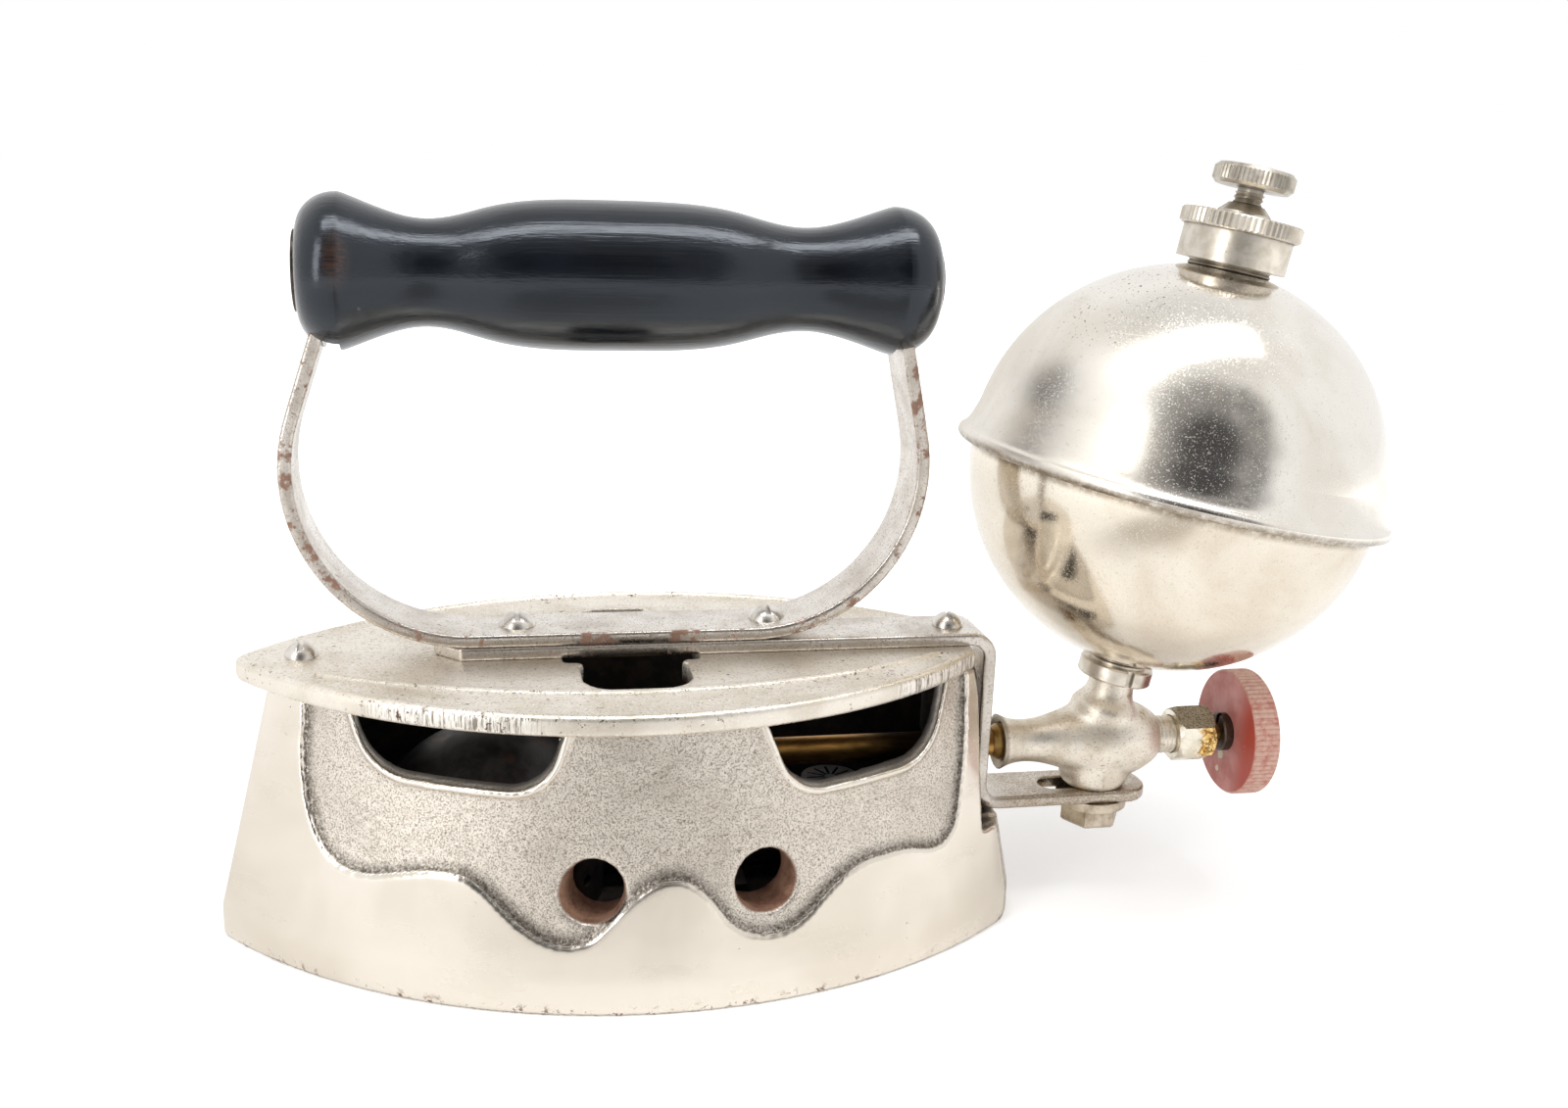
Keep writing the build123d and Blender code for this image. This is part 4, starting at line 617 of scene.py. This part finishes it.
def tube_finish():
    """The brass of the tube, painted with shade and a sooty tone inside the body, but for a bright streak
    that is a painted gleam.
    """
    finish = Finish("brass_shaded_and_sooty")
    cloud = finish.noise(7, 4, 0.6, stretch=(3, 1, 1))
    base = finish.mix(finish.ramp(cloud, 0.36, 0.64), colour(206, 160, 90), colour(142, 102, 54))
    # Painted shade with a sooty tone on the tube inside the body; the clean bright brass beside it is a
    # painted gleam.
    shade_and_soot = finish.ramp(finish.plus(finish.along("X"), finish.times(cloud, 16)), *tube_shade_and_soot_x)
    outside = finish.ramp(finish.along("X"), *tube_outside_x)
    shade_and_soot = finish.times(shade_and_soot, finish.line(outside, 0, 1, 1, 0.2))
    base = finish.mix(finish.times(shade_and_soot, 0.9), base, colour(36, 28, 22))
    finish.bump(finish.noise(0.9, 3, 0.6), 0.03)
    rough = finish.blend(shade_and_soot, finish.line(cloud, 0.3, 0.7, 0.3, 0.45), 0.65)
    return finish.done(Base_Color=base, Metallic=0.9, Roughness=rough)


def valve_finish():
    """Satin nickel on a casting, grimy and with painted shade in its hollows."""
    finish = Finish("valve_plating")
    cloud = finish.noise(6, 4, 0.6)
    grain = finish.noise(0.5, 3, 0.6)
    base = finish.mix(finish.ramp(cloud, 0.35, 0.68), colour(238, 230, 217), colour(220, 209, 192))
    base = finish.mix(finish.ramp(grain, 0.54, 0.68, 0, 0.5), base, colour(158, 145, 126))
    stain = finish.ramp(finish.noise(3.2, 4, 0.65), 0.6, 0.74, 0, 0.6)
    base = finish.mix(stain, base, colour(150, 132, 102))
    # Painted shade with soiling in the valve's hollows.
    base = finish.mix(finish.times(finish.crevice_shade_and_grime(2.0), 0.8), base, colour(104, 88, 70))
    end = finish.ramp(finish.along("X"), valve_end_x + 1.6, valve_end_x + 0.6, 0, 0.6)
    base = finish.mix(end, base, colour(122, 108, 88))
    scratch = finish.ramp(finish.noise(0.5, 3, 0.7, stretch=(7, 2, 1), warp=1.5), 0.62, 0.68, 0, 0.6)
    base = finish.mix(scratch, base, colour(128, 114, 94))
    finish.bump(grain, 0.05)
    finish.bump(finish.noise(2.4, 3, 0.6), 0.06)
    return finish.done(Base_Color=base, Metallic=1.0, Roughness=finish.line(cloud, 0.3, 0.7, 0.4, 0.54))


def wheel_finish():
    """Dusty red paint, deeper where it stays clean, chipped on the face and rubbed off the knurl."""
    finish = Finish("red_paint")
    finish.soften(0.2)
    cloud = finish.noise(6, 4, 0.6)
    dusty = finish.mix(finish.ramp(cloud, 0.36, 0.66), colour(200, 136, 128), colour(180, 108, 100))
    clean = finish.ramp(finish.plus(finish.along("Y"), finish.times(cloud, 6)), -1.5, -8)
    base = finish.mix(clean, dusty, colour(182, 74, 58))
    reach = finish.far_from((wheel_middle_x, 0, valve_z), (1e6, 1, 1))
    rim = finish.ramp(reach, *wheel_knurl_reach)
    rubbed = finish.times(rim, finish.ramp(finish.noise(1.6, 4, 0.7), 0.3, 0.6, 0.35, 0.95))
    base = finish.mix(rubbed, base, colour(218, 184, 168))
    chip = finish.ramp(finish.noise(1.8, 4, 0.7), 0.69, 0.72)
    chip = finish.times(chip, finish.ramp(reach, 12.5, 9))
    flake = finish.far_from(large_flake, (3, 2.1, 1.9))
    flake = finish.smaller(flake, finish.far_from(small_flake, (3, 1.1, 1.1)))
    flake = finish.plus(flake, finish.times(finish.noise(1.3, 4, 0.8), 1.8))
    chip = finish.larger(chip, finish.ramp(flake, 1.62, 1.45))
    base = finish.mix(chip, base, colour(218, 204, 178))
    # Painted shade with soiling in the knurl and corners.
    base = finish.mix(finish.crevice_shade_and_grime(0.8), base, colour(74, 34, 30))
    finish.bump(chip, -0.08)
    finish.bump(finish.noise(1.0, 3, 0.6), 0.02)
    return finish.done(Base_Color=base, Roughness=finish.line(cloud, 0.3, 0.7, 0.42, 0.58))


def burner_finish(name, low, high):
    """Scaled dark iron, satin where it is smooth."""
    finish = Finish(name)
    cloud = finish.noise(4, 5, 0.65)
    base = finish.mix(finish.ramp(cloud, 0.36, 0.66), low, high)
    base = finish.mix(finish.ramp(finish.noise(9, 3), 0.56, 0.68, 0, 0.5), base, colour(96, 66, 50))
    finish.bump(finish.noise(0.9, 3, 0.7), 0.06)
    return finish.done(Base_Color=base, Metallic=0.35, Roughness=finish.line(cloud, 0.3, 0.7, 0.34, 0.6))


def gasket_finish():
    """Oiled leather."""
    finish = Finish("oiled_leather")
    pores = finish.cells(0.6)
    patch = finish.ramp(finish.noise(2.4, 3), 0.35, 0.65)
    base = finish.mix(patch, colour(58, 40, 28), colour(86, 62, 42))
    base = finish.mix(finish.ramp(pores, 0.3, 0.1, 0, 0.6), base, colour(32, 22, 16))
    finish.bump(pores, 0.06)
    return finish.done(Base_Color=base, Roughness=finish.line(pores, 0, 0.7, 0.7, 0.5))


def packing_finish():
    """Greased twisted yarn."""
    finish = Finish("greased_yarn")
    strands = finish.noise(0.7, 2, 0.5, stretch=(1, 4, 4))
    base = finish.mix(finish.ramp(strands, 0.35, 0.65), colour(86, 80, 68), colour(48, 43, 36))
    finish.bump(strands, 0.12)
    return finish.done(Base_Color=base, Roughness=finish.line(strands, 0, 1, 0.65, 0.85))


def dress(finish, *names):
    """Gives CAD nodes a finish."""
    for name in names:
        for slot in nodes[name].material_slots:
            slot.material = finish


def cover(piece, finish):
    """Gives a new piece its one finish."""
    piece.data.materials.clear()
    piece.data.materials.append(finish)


def settle(piece):
    """Makes the result of a piece's modifiers its own mesh."""
    graph = bpy.context.evaluated_depsgraph_get()
    mesh = bpy.data.meshes.new_from_object(piece.evaluated_get(graph))
    piece.modifiers.clear()
    piece.vertex_groups.clear()
    piece.data = mesh


def recast(node, name, voxel, change=None):
    """A new piece in a node's place: the same form, changed if asked, as one skin of small faces."""
    piece = bpy.data.objects.new(name, nodes[node].data.copy())
    if change:
        change(piece.data)
    bpy.context.scene.collection.objects.link(piece)
    skin = piece.modifiers.new("skin", "REMESH")
    skin.mode = "VOXEL"
    skin.voxel_size = voxel * MM
    skin.use_smooth_shade = True
    settle(piece)
    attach(piece, "iron")
    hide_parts(node)
    return piece


def points_of(piece):
    points = np.empty(len(piece.data.vertices) * 3)
    piece.data.vertices.foreach_get("co", points)
    return points.reshape(-1, 3)


def smoothed(piece, points, rounds):
    """The points, each drawn to its neighbours that many times."""
    ends = np.empty(len(piece.data.edges) * 2, int)
    piece.data.edges.foreach_get("vertices", ends)
    first = np.concatenate((ends[0::2], ends[1::2]))
    second = np.concatenate((ends[1::2], ends[0::2]))
    count = np.bincount(first, minlength=len(points))[:, None]
    for _ in range(rounds):
        totals = [np.bincount(first, points[second, axis], len(points)) for axis in range(3)]
        points = (points + np.stack(totals, axis=1) / count) / 2
    return points


def reshape(piece, points):
    piece.data.vertices.foreach_set("co", points.ravel())
    piece.data.update()


def rise(piece, rounds):
    """How far each point stands above its smoothed surroundings, in millimetres."""
    points = points_of(piece)
    normals = np.empty(len(points) * 3)
    piece.data.vertex_normals.foreach_get("vector", normals)
    return ((points - smoothed(piece, points, rounds)) * normals.reshape(-1, 3)).sum(axis=1) / MM


def mark(piece, name, values):
    """Keeps a number for each point, for the material to read."""
    kept = piece.data.attributes.new(name, "FLOAT", "POINT")
    kept.data.foreach_set("value", np.clip(values, 0, 1).astype(np.float32))


def step(values, low, high):
    """0 at low, 1 at high, and smooth between them."""
    share = np.clip((values - low) / (high - low), 0, 1)
    return share * share * (3 - 2 * share)


def outline_at(height):
    """The two arcs of the body's outside at a height: their middle, half width and radius, and the heel."""
    share = np.clip((height - sole_edge_height) / (body_height - sole_edge_height), 0, 1)
    nose, mid, heel, half_width = (a + (b - a) * share for a, b in zip(sole_outline, rim_outline))
    return mid, half_width, ((mid - nose) ** 2 + half_width**2) / (2 * half_width), heel


def depth_in_body(points):
    """How far each point lies under the body's outer sides and under its whole outside, in millimetres."""
    x, y, z = (points / MM).T
    mid, half_width, radius, heel = outline_at(z)
    side = radius - np.hypot(x - mid, np.abs(y) + radius - half_width)
    return side, np.minimum(np.minimum(side, heel - x), z)


def bore_line(hole_x, hole_z, turn):
    """Where an air hole meets the body's side, and its bore's shift along for each millimetre inwards."""
    mid, half_width, radius, _ = outline_at(hole_z)
    half = math.sqrt(radius**2 - (hole_x - mid) ** 2) - radius + half_width
    return half, math.tan(math.radians(turn))


def boss_ring(form, middle, radius):
    """A circle of points that faces the body's side, with its middle in millimetres."""
    x, y, z = middle
    angles = [2 * math.pi * index / boss_points for index in range(boss_points)]
    places = [(x + radius * math.cos(angle), y, z + radius * math.sin(angle)) for angle in angles]
    return [form.verts.new(Vector(place) * MM) for place in places]


def add_bosses(mesh):
    """Thickens the body's wall round each air hole, so that its bore is deep and runs askew."""
    form = bmesh.new()
    form.from_mesh(mesh)
    for (hole_x, hole_z, turn), side in itertools.product(air_holes, (-1, 1)):
        half, shift = bore_line(hole_x, hole_z, turn)
        rings = []
        for radius, depth in itertools.product((air_hole_radius, boss_radius), boss_depths):
            middle = (hole_x + shift * depth, side * (half - depth), hole_z)
            rings.append(boss_ring(form, middle, radius))
        inner_front, inner_back, outer_front, outer_back = rings
        loop = (inner_front, inner_back, outer_back, outer_front)
        faces = []
        for first, second in zip(loop, loop[1:] + loop[:1]):
            for index in range(boss_points):
                after = (index + 1) % boss_points
                corners = (first[index], first[after], second[after], second[index])
                faces.append(form.faces.new(corners))
        bmesh.ops.recalc_face_normals(form, faces=faces)
    form.to_mesh(mesh)
    form.free()


def near_to(points, others):
    """How far each point lies from the nearest of the others, in millimetres."""
    tree = KDTree(len(others))
    for index, point in enumerate(others):
        tree.insert(point, index)
    tree.balance()
    return np.array([tree.find(point)[2] for point in points]) / MM


def bore_share(points, depth):
    """1 on the walls of the air holes, of their straight fronts and of the askew bores behind them."""
    x, y, z = (points / MM).T
    bore = np.zeros(len(points))
    for hole_x, hole_z, turn in air_holes:
        half, shift = bore_line(hole_x, hole_z, turn)
        askew = np.hypot(x - hole_x - shift * (half - np.abs(y)), z - hole_z)
        reach = np.minimum(askew, np.hypot(x - hole_x, z - hole_z))
        bore = np.maximum(bore, step(reach, air_hole_radius + 1.0, air_hole_radius + 0.4))
    return bore * step(depth, 1.5, 2.2) * step(depth, boss_depths[1] + 1.2, boss_depths[1] - 0.3)


def cove_share(points, side, depth, panel):
    """1 on a panel's floor beside its raised edge, 0 away from it and along the windows: where the finish
    paints shade with sooty specks.
    """
    x, _, z = (points / MM).T
    low_x, high_x, low_z = panel_lips
    lips = (x > low_x) & (x < high_x) & (z > low_z)
    floor = (panel > 0.5) & (depth < 2.0)
    cove = np.zeros(len(points))
    cove[floor] = step(near_to(points[floor], points[(side < 0.35) & ~lips]), 3.8, 0.9)
    return cove


def ledge_share(points):
    """1 on the floor of the notch in the heel, under the bracket's foot."""
    x, y, z = (points / MM).T
    start_x, half_width = heel_notch
    along = step(x, start_x + 0.3, start_x + 0.9) * step(np.abs(y), half_width - 0.2, half_width - 0.8)
    return along * step(z, foot_top - 4.7, foot_top - 3.9) * step(z, foot_top - 2.5, foot_top - 2.9)


def roughen(piece, weights):
    """Makes a casting uneven, by a share for each point."""
    rough = piece.vertex_groups.new(name="rough")
    for index, weight in enumerate(weights):
        if weight > 0:
            rough.add([index], weight, "REPLACE")
    clouds = bpy.data.textures.new("cast_clouds", "CLOUDS")
    clouds.noise_scale = 2.2 * MM
    swell = piece.modifiers.new("swell", "DISPLACE")
    swell.texture = clouds
    swell.texture_coords = "LOCAL"
    swell.strength = 0.22 * MM
    swell.vertex_group = "rough"
    settle(piece)


def make_body():
    """The body casting with the rounded edges of a mould, its panels a little uneven."""
    piece = recast("body_casting", "body_skin", voxel=0.5, change=add_bosses)
    reshape(piece, smoothed(piece, points_of(piece), rounds=6))
    cast = points_of(piece)
    side, depth = depth_in_body(cast)
    x, y, _ = (cast / MM).T
    panel = step(side, 0.35, 0.95)
    inner = step(depth, 2.6, 5.2)
    cove = cove_share(cast, side, depth, panel)
    start_x, half_width = heel_notch
    notch = step(x, start_x, start_x + 1) * step(np.abs(y), half_width + 1, half_width)
    # The ridges and lips stand above their surroundings; the finish paints a highlight on them.
    mark(piece, "raised", step(rise(piece, rounds=14), 0.1, 0.3))
    mark(piece, "panel", panel * step(depth, 0.2, 0.6))
    mark(piece, "inside", inner * (1 - notch))
    mark(piece, "wall", step(depth, 1.9, 3.0))
    mark(piece, "bore", bore_share(cast, depth))
    mark(piece, "cove", cove)
    roughen(piece, panel * (1 - inner))
    points = points_of(piece)
    points[:, 1] += np.sign(y) * cove * 0.3 * MM
    points[:, 2] = np.maximum(points[:, 2], 0)
    points[:, 2] += ledge_rise * MM * ledge_share(cast)
    reshape(piece, points)
    cover(piece, body_finish())


def make_plate():
    """The top plate as cast: soft edges, and a low ridge where the flat middle meets the band."""
    piece = recast("top_plate", "plate_skin", voxel=0.5)
    points = smoothed(piece, points_of(piece), rounds=3)
    x, y, z = (points / MM).T
    beyond = np.hypot(x - band_middle_x, np.abs(y) + band_radius - band_half_width) - band_radius
    upper = step(z, plate_top - 1.4, plate_top - 1.1)
    band = step(plate_top - z, 0.05, 0.75) * step(beyond, -1.5, 0.3) * step(beyond, 7, 5)
    start_x, end_x = band_ends
    ridge = np.exp(-(((beyond + 0.5) / 0.7) ** 2)) * step(x, start_x - 2, start_x + 3)
    ridge *= step(x, end_x + 2, end_x - 3)
    points[:, 2] += (band_rise * band + ridge_height * ridge) * upper * MM
    beside = step(np.abs(y), vent_half_length + 3, vent_half_length)
    draw = np.sin(np.pi * np.clip(np.abs(x) / vent_reach, 0, 1)) ** 2 * beside
    points[:, 0] -= np.sign(x) * draw * (1.3 + 2.6 * step(np.abs(y), 13, 10)) * MM
    reshape(piece, points)
    cover(piece, plate_finish())


def make_bars():
    """The strap and the bracket, bent from bar with rounded edges."""
    for node, name, rust in (("handle_strap", "strap", 1.0), ("tank_bracket", "bracket", 0.2)):
        piece = recast(node, name + "_skin", voxel=0.42)
        reshape(piece, smoothed(piece, points_of(piece), rounds=3))
        cover(piece, bar_finish(name + "_plating", rust))


def make_valve():
    """The valve body, cast in one sweep from arm to neck; its thread and its rim stay sharp."""
    piece = recast("valve_body", "valve_skin", voxel=0.36)
    points = points_of(piece)
    x, _, z = (points / MM).T
    soft = step(x, valve_shoulder_x, valve_shoulder_x - 2) * step(x, valve_end_x + 0.4, valve_end_x + 3)
    soft = (soft * step(z, foot_top + 0.1, foot_top + 1.2))[:, None]
    swept = smoothed(piece, points, rounds=26)
    reshape(piece, points + (swept - points) * np.maximum(soft, 0.06))
    cover(piece, valve_finish())


def dress_nodes():
    """The finishes of the pieces that keep their CAD form."""
    dress(grip_finish(), "grip")
    dress(upper_tank_finish(), "tank_upper_shell")
    dress(lower_tank_finish(), "tank_lower_shell")
    dress(brass_finish(), "tube_ferrule", "valve_stem", "generator_block", "jet_nipple")
    dress(nut_finish(), "packing_nut")
    dress(tube_finish(), "generator_tube")
    dress(wheel_finish(), "hand_wheel")
    dress(gasket_finish(), "cap_gasket")
    dress(packing_finish(), "stem_packing")
    dress(burner_finish("burner_iron", colour(40, 38, 38), colour(66, 62, 60)), "burner_body")
    dress(burner_finish("burner_cap_iron", colour(20, 18, 17), colour(34, 30, 27)), "burner_cap")
    dress(screw_finish(), "nose_screw", "strap_screws", "bracket_screw", "wheel_screw")
    dress(bolt_finish(), "valve_bolt", "bolt_washer")
    dress(steel_finish(), "grip_rod", "grip_washers", "wheel_nut", "burner_screws")
    dress(cap_finish(), "outlet_spud", "tank_collar", "filler_cap")
    dress(vent_finish(), "filler_neck", "vent_gland", "vent_screw")


def room_clouds(web, scale, detail):
    """Clouds over the room's directions, about 0."""
    inputs = {"Vector": web.place, "Scale": scale, "Detail": detail}
    return web.minus(web.node("ShaderNodeTexNoise", inputs).outputs["Fac"], 0.5)


def make_world():
    """A white room. What shines also mirrors its dim ceiling, and its dark side in front of the iron."""
    world = bpy.data.worlds.new("room")
    bpy.context.scene.world = world
    world.use_nodes = True
    web = Web(world.node_tree, "Generated")
    rays = web.node("ShaderNodeLightPath").outputs
    glossy = rays["Is Glossy Ray"]
    seen = web.larger(rays["Is Camera Ray"], web.larger(glossy, rays["Is Transmission Ray"]))
    front = web.node("ShaderNodeVectorMath", {0: web.place, 1: dark_side}, operation="DOT_PRODUCT")
    front = front.outputs["Value"]
    clutter = room_clouds(web, 24.0, 6)
    edge = web.plus(front, web.times(room_clouds(web, 3.5, 3), 0.14))
    core = web.plus(front, web.times(clutter, 0.1))
    room = web.mix(web.ramp(clutter, -0.08, 0.16), (0.2, 0.2, 0.205, 1), (0.6, 0.58, 0.56, 1))
    room = web.mix(web.ramp(core, 0.935, 0.98, 0, 0.88), room, (0.03, 0.03, 0.034, 1))
    upward = web.node("ShaderNodeSeparateXYZ", {"Vector": web.place}).outputs["Z"]
    ceiling = web.times(web.ramp(upward, 0.72, 0.95, 0, 0.3), glossy)
    tone = web.mix(ceiling, (1, 1, 1, 1), (0.25, 0.24, 0.22, 1))
    tone = web.mix(web.times(web.ramp(edge, 0.74, 0.86), glossy), tone, room)
    background = world.node_tree.nodes["Background"]
    web.feed(background.inputs["Color"], tone)
    web.feed(background.inputs["Strength"], web.blend(seen, 0.55, 1.0))


def soft_lamp(name, place, size, watts, mirrored=True):
    """A soft box, in metres, turned to the iron, that polished metal shows or doesn't."""
    light = bpy.data.lights.new(name, "AREA")
    light.shape = "RECTANGLE"
    light.size, light.size_y = size
    light.energy = watts
    lamp = bpy.data.objects.new(name, light)
    lamp.location = place
    lamp.rotation_euler = (Vector(lamp_aim) - lamp.location).to_track_quat("-Z", "Y").to_euler()
    lamp.visible_camera = False
    lamp.visible_glossy = mirrored
    bpy.context.scene.collection.objects.link(lamp)


def make_floor():
    """A white floor that keeps the iron's soft shadow."""
    half = floor_half
    corners = [(-half, -half, 0), (half, -half, 0), (half, half, 0), (-half, half, 0)]
    mesh = bpy.data.meshes.new("floor")
    mesh.from_pydata(corners, [], [(0, 1, 2, 3)])
    floor = bpy.data.objects.new("floor", mesh)
    floor.location.z = -0.05 * MM
    bpy.context.scene.collection.objects.link(floor)
    finish = Finish("floor_paint")
    paper = finish.mix(finish.noise(40, 2), colour(240, 240, 240), colour(244, 244, 244))
    rays = finish.node("ShaderNodeLightPath").outputs
    front = finish.ramp(finish.far_from((-30, -330, 0), (110, 290, 100)), 1.05, 0.5)
    dim = finish.times(front, rays["Is Glossy Ray"])
    paper = finish.mix(finish.times(dim, 0.7), paper, colour(176, 170, 163))
    mirrored = finish.times(rays["Is Glossy Ray"], finish.line(front, 0, 1, 0.6, 0.25))
    seen = finish.larger(rays["Is Camera Ray"], mirrored)
    far = finish.ramp(finish.far_from((30, 0, 0)), 220, 900, 0.34, 0.95)
    glow = finish.times(seen, far)
    painted = finish.done(
        Base_Color=paper,
        Roughness=1.0,
        Emission_Color=(1, 1, 1, 1),
        Emission_Strength=glow,
        Specular_IOR_Level=0.0,
    )
    mesh.materials.append(painted)


def make_camera():
    """The photograph's point of view."""
    ahead = Vector((
        math.sin(camera_heading) * math.cos(camera_down),
        math.cos(camera_heading) * math.cos(camera_down),
        -math.sin(camera_down),
    ))
    level = Vector((math.cos(camera_heading), -math.sin(camera_heading), 0))
    right = Matrix.Rotation(-camera_roll, 3, ahead) @ level
    up = right.cross(ahead)
    lens = bpy.data.cameras.new("camera")
    lens.sensor_width = sensor_width
    lens.lens = focal_pixels / picture_width * sensor_width
    lens.clip_start = 0.01
    camera = bpy.data.objects.new("camera", lens)
    turn = Matrix((right, up, -ahead)).transposed().to_4x4()
    camera.matrix_world = Matrix.Translation(camera_place * MM) @ turn
    bpy.context.scene.collection.objects.link(camera)
    bpy.context.scene.camera = camera


make_camera()
make_world()
make_floor()
soft_lamp("lamp_over", (0.05, -0.15, 0.95), (1.0, 0.22), 4.4)
soft_lamp("lamp_left", (-0.75, -0.65, 0.4), (0.25, 0.9), 2.8)
soft_lamp("lamp_right", (0.95, -0.4, 0.45), (0.7, 1.0), 2.8, mirrored=False)
dress_nodes()
make_body()
make_plate()
make_bars()
make_valve()

bpy.context.scene.view_settings.view_transform = "Standard"
